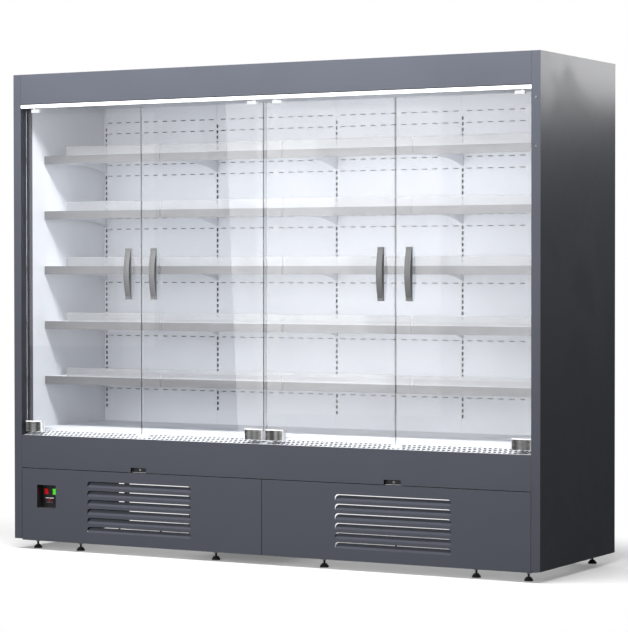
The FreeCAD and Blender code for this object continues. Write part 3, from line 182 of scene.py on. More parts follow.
put(tree, "OutputMaterial", Surface=mixed.outputs[0])
floor.data.materials.append(floorMaterial)
print("camera, lamps and floor done")

# shared surface effects


def newGroup(name, inputs, outputs):
    group = bpy.data.node_groups.new(name, "ShaderNodeTree")
    for label, kind, value in inputs:
        socket = group.interface.new_socket(name=label, in_out="INPUT", socket_type="NodeSocket" + kind)
        socket.default_value = value
    for label, kind in outputs:
        group.interface.new_socket(name=label, in_out="OUTPUT", socket_type="NodeSocket" + kind)
    return group, group.nodes.new("NodeGroupInput"), group.nodes.new("NodeGroupOutput")


def paintGrain():
    # the fine orange peel of a powder coat
    group, given, result = newGroup("paintGrain", [("Scale", "Float", 700.0)], [("Height", "Float")])
    spot = put(group, "TexCoord").outputs["Object"]
    fine = put(group, "TexNoise", Vector=spot, Scale=given.outputs["Scale"], Detail=2.0, Roughness=0.4)
    group.links.new(fine.outputs["Fac"], result.inputs["Height"])
    return group


def brushedLines():
    # streaks along one axis, from a noise squeezed across it
    group, given, result = newGroup("brushedLines", [("Squeeze", "Vector", (900, 900, 12))], [("Lines", "Float")])
    spot = put(group, "TexCoord").outputs["Object"]
    squeezed = put(group, "VectorMath", {"operation": "MULTIPLY"})
    group.links.new(spot, squeezed.inputs[0])
    group.links.new(given.outputs["Squeeze"], squeezed.inputs[1])
    streaks = put(group, "TexNoise", Vector=squeezed.outputs[0], Scale=1.0, Detail=3.0, Roughness=0.6)
    group.links.new(remap(group, streaks.outputs["Fac"], 0.3, 0.7, 0, 1), result.inputs["Lines"])
    return group


def wipeMarks():
    # broad soft patches left by hands and cloths
    group, given, result = newGroup("wipeMarks", [("Scale", "Float", 3.0)], [("Patches", "Float")])
    spot = put(group, "TexCoord").outputs["Object"]
    broad = put(group, "TexNoise", Vector=spot, Scale=given.outputs["Scale"], Detail=5.0, Distortion=0.6)
    group.links.new(remap(group, broad.outputs["Fac"], 0.35, 0.65, 0, 1), result.inputs["Patches"])
    return group


edgeBevel = {"reach": 0.0016, "samples": 4}


def wornAndHighlitEdges():
    # a thin line where two faces meet, broken up by noise; the materials lighten it, partly for wear and partly as a
    # painted edge highlight
    group, given, result = newGroup("wornAndHighlitEdges", [("Breaks", "Float", 60.0)], [("Mask", "Float")])
    rounded = put(group, "Bevel", {"samples": edgeBevel["samples"]}, Radius=edgeBevel["reach"])
    flat = put(group, "NewGeometry")
    facing = put(group, "VectorMath", {"operation": "DOT_PRODUCT"})
    group.links.new(rounded.outputs[0], facing.inputs[0])
    group.links.new(flat.outputs["Normal"], facing.inputs[1])
    line = remap(group, facing.outputs["Value"], 0.99, 0.8, 0, 1)
    spot = put(group, "TexCoord").outputs["Object"]
    gaps = put(group, "TexNoise", Vector=spot, Scale=given.outputs["Breaks"], Detail=3.0)
    broken = remap(group, gaps.outputs["Fac"], 0.35, 0.6, 0.25, 1)
    group.links.new(calc(group, "MULTIPLY", line, broken), result.inputs["Mask"])
    return group


def settledDust():
    # dust on faces that look up, thicker in patches
    group, given, result = newGroup("settledDust", [("Amount", "Float", 0.2)], [("Mask", "Float")])
    normal = put(group, "SeparateXYZ", Vector=put(group, "NewGeometry").outputs["Normal"])
    upward = remap(group, normal.outputs["Z"], 0.5, 1.0, 0, 1)
    spot = put(group, "TexCoord").outputs["Object"]
    specks = put(group, "TexNoise", Vector=spot, Scale=9.0, Detail=6.0, Roughness=0.65)
    patchy = remap(group, specks.outputs["Fac"], 0.4, 0.7, 0.2, 1)
    settled = calc(group, "MULTIPLY", calc(group, "MULTIPLY", upward, patchy), given.outputs["Amount"])
    group.links.new(settled, result.inputs["Mask"])
    return group


seam = {"bay": 0.625, "half": 0.0008, "rivetAside": 0.013, "rivetPitch": 0.15, "rivetRadius": 0.0034,
        "rivetRim": 0.0006}


def panelSeams():
    # butt seams and rivet heads of a sheet made in bay-wide pieces
    group, given, result = newGroup("panelSeams", [("Rivets", "Float", 1.0)],
                                    [("Mask", "Float"), ("Height", "Float")])
    spot = put(group, "SeparateXYZ", Vector=put(group, "TexCoord").outputs["Object"])
    across = calc(group, "ABSOLUTE", calc(group, "WRAP", spot.outputs["X"], seam["bay"] / 2, -seam["bay"] / 2))
    along = calc(group, "WRAP", calc(group, "ADD", spot.outputs["Z"], spot.outputs["Y"]), seam["rivetPitch"] / 2,
                 -seam["rivetPitch"] / 2)
    aside = calc(group, "SUBTRACT", across, seam["rivetAside"])
    reach = calc(group, "SQRT", calc(group, "ADD", calc(group, "MULTIPLY", aside, aside),
                                     calc(group, "MULTIPLY", along, along)))
    line = remap(group, across, seam["half"], 2 * seam["half"], 1, 0)
    head = remap(group, reach, seam["rivetRadius"] * 0.5, seam["rivetRadius"], 1, 0)
    fromRim = calc(group, "ABSOLUTE", calc(group, "SUBTRACT", reach, seam["rivetRadius"]))
    rim = remap(group, fromRim, 0, seam["rivetRim"], 1, 0)
    group.links.new(calc(group, "MAXIMUM", line, rim), result.inputs["Mask"])
    raised = calc(group, "MULTIPLY", head, given.outputs["Rivets"])
    group.links.new(calc(group, "SUBTRACT", raised, line), result.inputs["Height"])
    return group


effects = {
    "grain": paintGrain(),
    "seams": panelSeams(),
    "brushed": brushedLines(),
    "marks": wipeMarks(),
    "edges": wornAndHighlitEdges(),
    "dust": settledDust(),
}


def effect(tree, name, **values):
    node = tree.nodes.new("ShaderNodeGroup")
    node.node_tree = effects[name]
    for label, value in values.items():
        node.inputs[label].default_value = value
    return node.outputs[0]


def newMaterial(name, **shine):
    # a material with one Principled shader, whose constants are set on the shader itself
    material = bpy.data.materials.new(name)
    material.use_nodes = True
    tree = material.node_tree
    tree.nodes.clear()
    shader = put(tree, "BsdfPrincipled", **shine)
    output = put(tree, "OutputMaterial", Surface=shader.outputs[0])
    return material, tree, shader, output


def objectPlace(tree):
    return put(tree, "SeparateXYZ", Vector=put(tree, "TexCoord").outputs["Object"])


def bumpFrom(tree, shader, height, strength, distance):
    bump = put(tree, "Bump", Height=height, Strength=strength, Distance=distance)
    tree.links.new(bump.outputs[0], shader.inputs["Normal"])


def paint(name, colour, edgeColour, rough, grain=700.0, depth=0.00012, edge=0.5, dust=0.15, seams=False, **shine):
    material, tree, shader, output = newMaterial(name, **shine)
    patches = effect(tree, "marks", Scale=2.2)
    tint = mixColours(tree, calc(tree, "MULTIPLY", patches, 0.25), colour, [c * 0.86 for c in colour[:3]] + [1])
    # edges lighter: partly wear, partly a painted edge highlight
    edgeWearAndHighlight = calc(tree, "MULTIPLY", effect(tree, "edges"), edge)
    tint = mixColours(tree, edgeWearAndHighlight, tint, edgeColour)
    tint = mixColours(tree, effect(tree, "dust", Amount=dust), tint, (0.42, 0.41, 0.4, 1))
    height = effect(tree, "grain", Scale=grain)
    if seams:
        joint = effect(tree, "seams")
        tint = mixColours(tree, calc(tree, "MULTIPLY", joint, 0.75), tint, (0.012, 0.012, 0.015, 1))
        height = calc(tree, "ADD", height, calc(tree, "MULTIPLY", joint.node.outputs["Height"], 6.0))
    tree.links.new(tint, shader.inputs["Base Color"])
    tree.links.new(remap(tree, patches, 0, 1, rough[0], rough[1]), shader.inputs["Roughness"])
    bumpFrom(tree, shader, height, 0.35, depth)
    return material


def brushedMetal(name, colour, squeeze, rough, contrast=0.3, edge=0.4, metal=1.0, **shine):
    material, tree, shader, output = newMaterial(name, Metallic=metal, **shine)
    lines = effect(tree, "brushed", Squeeze=squeeze)
    tint = mixColours(tree, calc(tree, "MULTIPLY", lines, contrast), colour, [c * 0.6 for c in colour[:3]] + [1])
    # edges lighter: partly wear, partly a painted edge highlight
    edgeWearAndHighlight = calc(tree, "MULTIPLY", effect(tree, "edges"), edge)
    tint = mixColours(tree, edgeWearAndHighlight, tint, (0.82, 0.82, 0.83, 1))
    tree.links.new(tint, shader.inputs["Base Color"])
    patches = effect(tree, "marks", Scale=14.0)
    roughness = calc(tree, "ADD", remap(tree, lines, 0, 1, rough[0], rough[1]), calc(tree, "MULTIPLY", patches, 0.06))
    tree.links.new(roughness, shader.inputs["Roughness"])
    bumpFrom(tree, shader, lines, 0.2, 0.00008)
    return material


def plastic(name, colour, rough, grain=1400.0, depth=0.00006, edge=0.25, **shine):
    material, tree, shader, output = newMaterial(name, **shine)
    patches = effect(tree, "marks", Scale=18.0)
    tint = mixColours(tree, calc(tree, "MULTIPLY", patches, 0.3), colour, [c * 0.82 for c in colour[:3]] + [1])
    # edges lighter: partly wear, partly a painted edge highlight
    edgeWearAndHighlight = calc(tree, "MULTIPLY", effect(tree, "edges"), edge)
    lighter = [min(1, c * 1.5 + 0.04) for c in colour[:3]] + [1]
    tree.links.new(mixColours(tree, edgeWearAndHighlight, tint, lighter), shader.inputs["Base Color"])
    tree.links.new(remap(tree, patches, 0, 1, rough[0], rough[1]), shader.inputs["Roughness"])
    bumpFrom(tree, shader, effect(tree, "grain", Scale=grain), 0.3, depth)
    return material


def clearSheet(name, colour, edgeColour, flatNormal, roughness, ior=1.5):
    # a clear pane: lamps and daylight pass straight through, and its cut edges are deeper in colour
    material, tree, shader, output = newMaterial(name, IOR=ior, Transmission_Weight=1.0)
    normal = put(tree, "SeparateXYZ", Vector=put(tree, "NewGeometry").outputs["Normal"])
    flat = calc(tree, "ABSOLUTE", normal.outputs[flatNormal])
    edge = remap(tree, flat, 0.9, 0.5, 0, 1)
    tree.links.new(mixColours(tree, edge, colour, edgeColour), shader.inputs["Base Color"])
    smears = effect(tree, "marks", Scale=5.0)
    tree.links.new(remap(tree, smears, 0, 1, roughness, roughness + 0.02), shader.inputs["Roughness"])
    path = put(tree, "LightPath")
    through = calc(tree, "MAXIMUM", path.outputs["Is Shadow Ray"], path.outputs["Is Diffuse Ray"])
    clear = put(tree, "BsdfTransparent", Color=(0.965, 0.97, 0.975, 1))
    mixed = put(tree, "MixShader", Fac=through)
    tree.links.new(shader.outputs[0], mixed.inputs[1])
    tree.links.new(clear.outputs[0], mixed.inputs[2])
    tree.links.new(mixed.outputs[0], output.inputs["Surface"])
    return material


white = (0.77, 0.785, 0.82, 1)
panelGrey = (0.066, 0.071, 0.088, 1)
panelEdgeWearAndHighlight = (0.15, 0.16, 0.18, 1)
panelRough = (0.36, 0.46)
panelShine = 0.28
finishes = {
    "panelPaint": paint("panelPaint", panelGrey, panelEdgeWearAndHighlight, panelRough, Specular_IOR_Level=panelShine),
    "backPaint": paint("backPaint", panelGrey, panelEdgeWearAndHighlight, panelRough, seams=True, Specular_IOR_Level=panelShine),
    "linerPaint": paint("linerPaint", white, (0.85, 0.86, 0.87, 1), (0.38, 0.5), grain=1500.0, depth=0.00002,
                        edge=0.3, dust=0.06),
    "blackPaint": paint("blackPaint", (0.02, 0.02, 0.022, 1), (0.08, 0.08, 0.08, 1), (0.3, 0.42), dust=0.3),
    # painted shade: the back liner is seen only through slots, so it is painted dark for the shade behind them
    "ductShade": paint("ductShade", (0.07, 0.075, 0.09, 1), (0.1, 0.1, 0.11, 1), (0.5, 0.6), edge=0.2, dust=0.1),
    "framePaint": paint("framePaint", (0.045, 0.046, 0.05, 1), (0.16, 0.16, 0.16, 1), (0.42, 0.55), dust=0.35),
    "zincSheet": brushedMetal("zincSheet", (0.56, 0.57, 0.58, 1), (40, 40, 40), (0.32, 0.5), contrast=0.45),
    "aluminium": brushedMetal("aluminium", (0.66, 0.67, 0.69, 1), (3, 500, 500), (0.25, 0.42)),
    "steel": brushedMetal("steel", (0.66, 0.66, 0.67, 1), (1200, 1200, 14), (0.3, 0.44)),
    "handleSatin": brushedMetal("handleSatin", (0.215, 0.218, 0.222, 1), (1200, 1200, 14), (0.34, 0.48), metal=0.45),
    "whitePlastic": plastic("whitePlastic", (0.84, 0.85, 0.86, 1), (0.4, 0.5)),
    "blackPlastic": plastic("blackPlastic", (0.022, 0.022, 0.024, 1), (0.42, 0.58)),
    "railPlastic": plastic("railPlastic", (0.138, 0.138, 0.145, 1), (0.3, 0.42)),
    "redPlastic": plastic("redPlastic", (0.62, 0.012, 0.015, 1), (0.16, 0.28), Emission_Color=(1, 0.02, 0.02, 1),
                          Emission_Strength=0.02),
    "greenPlastic": plastic("greenPlastic", (0.08, 0.55, 0.03, 1), (0.16, 0.28), Emission_Color=(0.1, 1, 0.05, 1),
                            Emission_Strength=0.3),
    "foam": plastic("foam", (0.72, 0.6, 0.36, 1), (0.75, 0.9), grain=260.0, depth=0.0012),
    "glass": clearSheet("glass", (0.985, 0.988, 0.995, 1), (0.66, 0.76, 0.78, 1), "Y", 0.0),
}


fittingLook = {"mouldedAbove": 1.2, "bands": 38.0, "pale": (0.92, 0.92, 0.91, 1), "dark": (0.2, 0.2, 0.2, 1),
               "lines": (0.5, 0.5, 0.51, 1), "bevel": (0.93, 0.93, 0.94, 1), "moulded": (0.86, 0.87, 0.88, 1)}


def fittingSteelAndHighlight():
    # brushed steel patch below, with soft pale and dark bands across its width and a painted highlight on its faces
    # that look up or to the right; white moulded block on the pane's top edge
    material, tree, shader, output = newMaterial("fittingSteelAndHighlight")
    spot = objectPlace(tree)
    moulded = calc(tree, "GREATER_THAN", spot.outputs["Z"], fittingLook["mouldedAbove"])
    lines = effect(tree, "brushed", Squeeze=(14, 1200, 1200))
    across = calc(tree, "MULTIPLY", spot.outputs["X"], fittingLook["bands"])
    soft = put(tree, "TexNoise", {"noise_dimensions": "1D"}, W=across, Scale=1.0, Detail=0.0)
    band = remap(tree, soft.outputs["Fac"], 0.3, 0.7, 0, 1)
    steel = mixColours(tree, band, fittingLook["pale"], fittingLook["dark"])
    steel = mixColours(tree, calc(tree, "MULTIPLY", lines, 0.2), steel, fittingLook["lines"])
    # painted highlight: faces that look up or to the right turn pale and less metallic
    facing = put(tree, "SeparateXYZ", Vector=put(tree, "NewGeometry").outputs["Normal"])
    bevel = calc(tree, "GREATER_THAN", calc(tree, "MAXIMUM", facing.outputs["Z"], facing.outputs["X"]), 0.5)
    steel = mixColours(tree, bevel, steel, fittingLook["bevel"])
    tree.links.new(mixColours(tree, moulded, steel, fittingLook["moulded"]), shader.inputs["Base Color"])
    plain = calc(tree, "MAXIMUM", moulded, calc(tree, "MULTIPLY", bevel, 0.8))
    tree.links.new(calc(tree, "SUBTRACT", 1.0, plain), shader.inputs["Metallic"])
    tree.links.new(remap(tree, lines, 0, 1, 0.26, 0.42), shader.inputs["Roughness"])
    bumpFrom(tree, shader, lines, 0.2, 0.00008)
    return material


diodePitch = 0.02


def diffuserFinish():
    # opal cover with the strip's light coming through, a touch weaker between the diodes
    material, tree, shader, output = newMaterial("diffuserFinish", Roughness=0.35, Emission_Strength=1.05)
    shader.inputs["Base Color"].default_value = (0.92, 0.93, 0.94, 1)
    wave = calc(tree, "SINE", calc(tree, "MULTIPLY", objectPlace(tree).outputs["X"], 2 * math.pi / diodePitch))
    tint = mixColours(tree, remap(tree, wave, -1, 1, 0, 1), (0.9, 0.93, 0.97, 1), (1, 1, 1, 1))
    tree.links.new(tint, shader.inputs["Emission Color"])
    return material


def riserFinish():
    # clear acrylic strip with a faint milkiness in patches
    material, tree, shader, output = newMaterial("riserFinish", IOR=1.49, Roughness=0.12, Alpha=0.42)
    patches = effect(tree, "marks", Scale=8.0)
    tint = mixColours(tree, patches, (0.37, 0.377, 0.39, 1), (0.34, 0.347, 0.36, 1))
    tree.links.new(tint, shader.inputs["Base Color"])
    return material


def paintWithShade(name, mask, near, far, rough, **shine):
    # a paint with painted shade over part of it, parted by a mask that a function draws in the material's tree
    material, tree, shader, output = newMaterial(name, **shine)
    shadedPart = mask(tree, objectPlace(tree))
    patches = effect(tree, "marks", Scale=2.2)
    tint = mixColours(tree, shadedPart, near, far)
    tint = mixColours(tree, calc(tree, "MULTIPLY", patches, 0.12), tint, (0.03, 0.03, 0.034, 1))
    tree.links.new(mixColours(tree, effect(tree, "dust", Amount=0.08), tint, (0.4, 0.4, 0.38, 1)),
                   shader.inputs["Base Color"])
    tree.links.new(remap(tree, patches, 0, 1, rough[0], rough[1]), shader.inputs["Roughness"])
    bumpFrom(tree, shader, effect(tree, "grain", Scale=1500.0), 0.3, 0.00002)
    return material


planes = {"front": front, "kickTop": 0.367, "bumperDepth": 0.018, "half": 1.25, "bay": 0.625,
          "uprightFront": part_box("shelf_uprights")[0].y, "uprightHalf": 0.01, "boreHalf": 0.009, "skin": 0.001,
          "wellFront": 0.13, "wellTop": 0.498, "recess": 0.07}


def belowKickTop(tree, spot):
    # painted shade on the machine compartment's part of the liners
    return calc(tree, "LESS_THAN", spot.outputs["Z"], planes["kickTop"])


def outsideTub(tree, spot):
    # painted shade on the well's underside, on its front face behind the bumper and on its front corner under the
    # grille
    under = calc(tree, "LESS_THAN", spot.outputs["Z"], planes["kickTop"] + planes["skin"])
    before = calc(tree, "LESS_THAN", spot.outputs["Y"], planes["front"] + planes["bumperDepth"] + planes["skin"])
    near = calc(tree, "LESS_THAN", spot.outputs["Y"], planes["front"] + planes["wellFront"])
    low = calc(tree, "LESS_THAN", spot.outputs["Z"], planes["wellTop"])
    corner = calc(tree, "MULTIPLY", near, low)
    return calc(tree, "MAXIMUM", calc(tree, "MAXIMUM", under, before), corner)


def insideUpright(tree, spot):
    # painted shade in the bore behind an upright's slotted face, at every bay's edge
    across = calc(tree, "ABSOLUTE", calc(tree, "WRAP", spot.outputs["X"], planes["bay"] / 2, -planes["bay"] / 2))
    ends = calc(tree, "SUBTRACT", planes["half"] - planes["uprightHalf"], calc(tree, "ABSOLUTE", spot.outputs["X"]))
    nearest = calc(tree, "MINIMUM", across, calc(tree, "ABSOLUTE", ends))
    within = calc(tree, "LESS_THAN", nearest, planes["boreHalf"])
    behind = calc(tree, "GREATER_THAN", spot.outputs["Y"], planes["uprightFront"] + planes["skin"])
    return calc(tree, "MULTIPLY", within, behind)


def innerReturn(tree, spot):
    # painted shade on the front strip of a side panel's inner face, in the door's recess
    inner = calc(tree, "LESS_THAN", calc(tree, "ABSOLUTE", spot.outputs["X"]), planes["half"] + planes["skin"] / 2)
    near = calc(tree, "LESS_THAN", spot.outputs["Y"], planes["front"] + planes["recess"])
    return calc(tree, "MULTIPLY", inner, near)


# painted shade colours for the masks below: near black for the liners' shaded parts, dark grey-blue for the side
# panels' inner returns
shade = (0.03, 0.031, 0.035, 1)
returnShade = (0.028, 0.03, 0.038, 1)
finishes["sideLinerAndShade"] = paintWithShade("sideLinerAndShade", belowKickTop, white, shade, (0.38, 0.5))
finishes["tubLinerAndShade"] = paintWithShade("tubLinerAndShade", outsideTub, white, shade, (0.4, 0.55))
finishes["uprightLinerAndShade"] = paintWithShade("uprightLinerAndShade", insideUpright, white, shade, (0.38, 0.5))
finishes["skinPaintAndShade"] = paintWithShade("skinPaintAndShade", innerReturn, panelGrey, returnShade, panelRough,
                                   Specular_IOR_Level=panelShine)
finishes["fitting"] = fittingSteelAndHighlight()
finishes["diffuser"] = diffuserFinish()
finishes["riser"] = riserFinish()

finishOf = {
    "panelPaint": ["canopy_fascia", "front_bumper", "kick_panel_left", "kick_panel_right"],
    "backPaint": ["back_skin", "roof_skin"],
    "skinPaintAndShade": ["right_side_skin", "left_side_skin"],
    "linerPaint": ["ceiling_panel", "back_duct_panels", "shelf_brackets", "deck_panels", "intake_grilles"]
                  + [f"shelf_trays_{row}" for row in range(1, 6)],
    "sideLinerAndShade": ["side_liners"],
    "tubLinerAndShade": ["insulated_tub"],
    "uprightLinerAndShade": ["shelf_uprights"],
    "ductShade": ["back_liner"],
    "blackPaint": ["canopy_rail", "control_box", "condenser_fan_shroud", "compressor"],
    "framePaint": ["base_frame", "evaporator_fan_plate"],
    "zincSheet": ["condensing_tray", "foot_lock_nuts"],
    "aluminium": ["light_housing", "evaporator_coil", "condenser_coil"],
    "steel": ["door_floor_pins", "panel_screws"],
    "handleSatin": [f"door_{number}_handle" for number in range(1, 5)],
    "whitePlastic": ["air_outlet_honeycomb", "door_stops"],
    "blackPlastic": ["evaporator_fan_left", "evaporator_fan_right", "condenser_fan", "thermostat",
                     "levelling_feet"],
    "railPlastic": ["price_rails"],
    "redPlastic": ["main_switch"],
    "greenPlastic": ["lamp_switch"],
    "foam": ["insulation_cores"],
    "glass": [f"door_{number}_glass" for number in range(1, 5)],
    "fitting": [f"door_{number}_fittings" for number in range(1, 5)],
    "diffuser": ["light_diffuser"],
    "riser": ["shelf_risers"],
}
dressed = set()
for finish, names in finishOf.items():
    for name in names:
        node = nodes[name]
        if not node.material_slots:
            node.data.materials.append(None)
        for materialSlot in node.material_slots:
            materialSlot.material = finishes[finish]
        dressed.add(name)
print("finishes on", len(dressed), "of", len(nodes), "nodes")
missing = sorted(set(nodes) - dressed)
if missing:
    print("no finish on", missing)

# small pieces modelled here


def edit(*steps):
    # edit mode on the object in hand, with everything selected, for the steps given
    bpy.ops.object.mode_set(mode="EDIT")
    bpy.ops.mesh.select_mode(type="FACE")
    bpy.ops.mesh.select_all(action="SELECT")
    for step in steps:
        step()
    bpy.ops.object.mode_set(mode="OBJECT")


def pickFaces(test):
    # select the faces whose centre and normal pass the test; from object mode to edit mode
    obj = bpy.context.object
    bpy.ops.object.mode_set(mode="OBJECT")
    for face in obj.data.polygons:
        face.select = test(face.center, face.normal)
    for edge in obj.data.edges:
        edge.select = False
    for vertex in obj.data.vertices:
        vertex.select = False
    for face in obj.data.polygons:
        if face.select:
            for vertex in face.vertices:
                obj.data.vertices[vertex].select = True
    bpy.ops.object.mode_set(mode="EDIT")
    bpy.ops.mesh.select_mode(type="FACE")


def startBox(size, centre):
    bpy.ops.mesh.primitive_cube_add(size=1, location=centre)
    bpy.context.object.scale = size
    bpy.ops.object.transform_apply(location=True, rotation=True, scale=True)
    return bpy.context.object


def startDisc(radius, depth, centre, axis="y", sides=24):
    turns = {"x": (0, math.pi / 2, 0), "y": (math.pi / 2, 0, 0), "z": (0, 0, 0)}
    bpy.ops.mesh.primitive_cylinder_add(vertices=sides, radius=radius, depth=depth, location=centre,
                                        rotation=turns[axis])
    bpy.ops.object.transform_apply(location=True, rotation=True, scale=True)
    return bpy.context.object


def roundEdges(width, segments=2, angle=40):
    obj = bpy.context.object
    rounding = obj.modifiers.new("rounding", "BEVEL")
    rounding.width = width
    rounding.segments = segments
    rounding.limit_method = "ANGLE"
    rounding.angle_limit = math.radians(angle)
    bpy.ops.object.modifier_apply(modifier=rounding.name)


def rowOf(count, step):
    obj = bpy.context.object
    row = obj.modifiers.new("row", "ARRAY")
    row.use_relative_offset = False
    row.use_constant_offset = True
    row.constant_offset_displace = step
    row.count = count
    bpy.ops.object.modifier_apply(modifier=row.name)


def finishPiece(name, finish, body="cabinet"):
    # doubles merged, faces outward, then dressed and set riding on its body
    obj = bpy.context.object
    obj.name = name
    edit(lambda: bpy.ops.mesh.remove_doubles(threshold=0.00001),
         lambda: bpy.ops.mesh.normals_make_consistent(inside=False))
    bpy.ops.object.shade_smooth_by_angle(angle=math.radians(35))
    obj.data.materials.clear()
    obj.data.materials.append(finishes[finish])
    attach(obj, body)
    bpy.ops.object.select_all(action="DESELECT")
    return obj


def joinPieces(objects):
    bpy.ops.object.select_all(action="DESELECT")
    for obj in objects:
        obj.select_set(True)
    bpy.context.view_layer.objects.active = objects[0]
    bpy.ops.object.join()
    return bpy.context.object


# thermostat: bezel, lit display and a row of membrane keys on its face

meterLow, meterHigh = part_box("thermostat")
meter = {
    "rim": 0.0014, "bezel": 0.0022, "edge": 0.0006,
    "displayLeft": 0.007, "displayWide": 0.036, "displayHigh": 0.013, "displayUp": 0.0068,
    "highlightHigh": 0.0045, "keyWide": 0.007, "keyHigh": 0.0035, "keyPitch": 0.0096, "keyUp": 0.0018, "keys": 4,
    "digitHigh": 0.0085, "digitWide": 0.0048, "digitPitch": 0.0082, "stroke": 0.001, "digitStart": 0.012,
}


def meterHighlightStrip():
    # a pale strip along the bezel's top: a painted highlight for the light its top edge catches
    wide = meterHigh.x - meterLow.x - 2 * meter["rim"]
    centre = ((meterLow.x + meterHigh.x) / 2, meterLow.y - meter["rim"] / 2, meterHigh.z - meter["highlightHigh"] / 2)
    startBox((wide, meter["rim"], meter["highlightHigh"]), centre)
    edit(lambda: pickFaces(lambda centre, normal: normal.y < -0.9),
         lambda: bpy.ops.mesh.inset(thickness=meter["edge"], depth=meter["edge"] / 2))
    roundEdges(meter["edge"] / 2)
    return finishPiece("thermostatHighlightStrip", "meterHighlightStrip")


def meterDisplay():
    # a sunk window behind a narrow frame
    left = meterLow.x + meter["displayLeft"]
    low = meterLow.z + meter["displayUp"]
    size = (meter["displayWide"], meter["rim"], meter["displayHigh"])
    centre = (left + size[0] / 2, meterLow.y - size[1] / 2, low + size[2] / 2)
    startBox(size, centre)
    edit(lambda: pickFaces(lambda centre, normal: normal.y < -0.9),
         lambda: bpy.ops.mesh.inset(thickness=meter["bezel"] / 2, depth=0),
         lambda: bpy.ops.mesh.inset(thickness=meter["edge"] / 2, depth=-meter["edge"]))
    roundEdges(meter["edge"] / 3)
    return finishPiece("thermostatDisplay", "displayGlass")


def digitBars(text, left, low, y):
    # seven-bar digits, each bar a thin box with pointed ends
    bars = {"a": (0, 1, False), "b": (1, 1, True), "c": (1, 0, True), "d": (0, 0, False),
            "e": (0, 0, True), "f": (0, 1, True), "g": (0, 0.5, False)}
    lit = {"0": "abcdef", "4": "bcfg"}
    wide, high, stroke = meter["digitWide"], meter["digitHigh"], meter["stroke"]
    pieces = []
    for place, digit in enumerate(text):
        for bar in lit[digit]:
            across, up, upright = bars[bar]
            x = left + place * meter["digitPitch"]
            if upright:
                centre = (x + across * wide, y, low + high * (0.75 if up else 0.25))
                size = (stroke, stroke / 2, high / 2 - stroke)
            else:
                centre = (x + wide / 2, y, low + up * high)
                size = (wide - stroke, stroke / 2, stroke)
            pieces.append(startBox(size, centre))
            roundEdges(stroke / 3, 1)
    joinPieces(pieces)
    return finishPiece("thermostatDigits", "litRed")


def meterKeys():
    # soft keys with a shallow dome
    keys = []
    for number in range(meter["keys"]):
        x = meterLow.x + meter["displayLeft"] + meter["keyWide"] / 2 + number * meter["keyPitch"]
        startBox((meter["keyWide"], meter["rim"] / 2, meter["keyHigh"]),
                 (x, meterLow.y - meter["rim"] / 4, meterLow.z + meter["keyUp"] + meter["keyHigh"] / 2))
        edit(lambda: pickFaces(lambda centre, normal: normal.y < -0.9),
             lambda: bpy.ops.mesh.inset(thickness=meter["edge"], depth=meter["edge"] / 3))
        roundEdges(meter["edge"] / 3)
        keys.append(bpy.context.object)
    joinPieces(keys)
    return finishPiece("thermostatKeys", "railPlastic")


finishes["meterHighlightStrip"] = plastic("meterHighlightStrip", (0.72, 0.72, 0.73, 1), (0.2, 0.3))
finishes["displayGlass"] = plastic("displayGlass", (0.03, 0.008, 0.009, 1), (0.08, 0.14), Coat_Weight=0.4,
                                   Emission_Color=(0.5, 0.02, 0.02, 1), Emission_Strength=0.03)
finishes["litRed"] = plastic("litRed", (0.4, 0.02, 0.02, 1), (0.3, 0.4), Emission_Color=(1, 0.06, 0.05, 1),
                             Emission_Strength=0.45)
meterHighlightStrip()
meterDisplay()
digitBars("04", meterLow.x + meter["displayLeft"] + meter["digitStart"],
          meterLow.z + meter["displayUp"] + (meter["displayHigh"] - meter["digitHigh"]) / 2,
          meterLow.y - meter["rim"] * 0.7)
meterKeys()
print("thermostat done")

# gaskets, plugs and screws on the shell

fasciaLow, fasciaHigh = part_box("canopy_fascia")
gasket = {"proud": 0.0008, "high": 0.0038, "lap": 0.0012, "round": 0.0005}


def fasciaGasketAndShadow():
    # a dark rubber bead between the fascia and the light, whose black also stands for the shadow line there: partly a
    # real bead, partly painted shade
    size = (fasciaHigh.x - fasciaLow.x, 2 * gasket["proud"], gasket["high"])
    startBox(size, (0, fasciaLow.y, fasciaLow.z + gasket["high"] / 2 - gasket["lap"]))
    roundEdges(gasket["round"])
    return finishPiece("fasciaGasketAndShadow", "blackPlastic")


fasciaGasketAndShadow()

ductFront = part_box("back_duct_panels")[0].y
plug = {"radius": 0.015, "proud": 0.0012, "dish": 0.004, "round": 0.0004, "up": 0.105, "pitch": 0.25, "rows": 6,
        "lowest": -0.2, "bays": 4}


def ductPlugs():
    # round covers over the duct's mounting holes, one a bay at every shelf pitch
    bay = planes["bay"]
    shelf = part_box("shelf_trays_1")[1].z
    low = shelf + plug["lowest"] + plug["up"]
    startDisc(plug["radius"], plug["proud"], (-1.5 * bay, ductFront - plug["proud"] / 2, low))
    edit(lambda: pickFaces(lambda centre, normal: normal.y < -0.9),
         lambda: bpy.ops.mesh.inset(thickness=plug["dish"], depth=-plug["proud"] / 2))
    roundEdges(plug["round"])
    rowOf(plug["bays"], (bay, 0, 0))
    rowOf(plug["rows"], (0, 0, plug["pitch"]))
    return finishPiece("ductPlugs", "whitePlastic")


ductPlugs()

capScrew = {"radius": 0.0036, "head": 0.0012, "socket": 0.0016, "sink": 0.0009, "round": 0.0003,
            "inset": 0.012, "up": 0.0235}


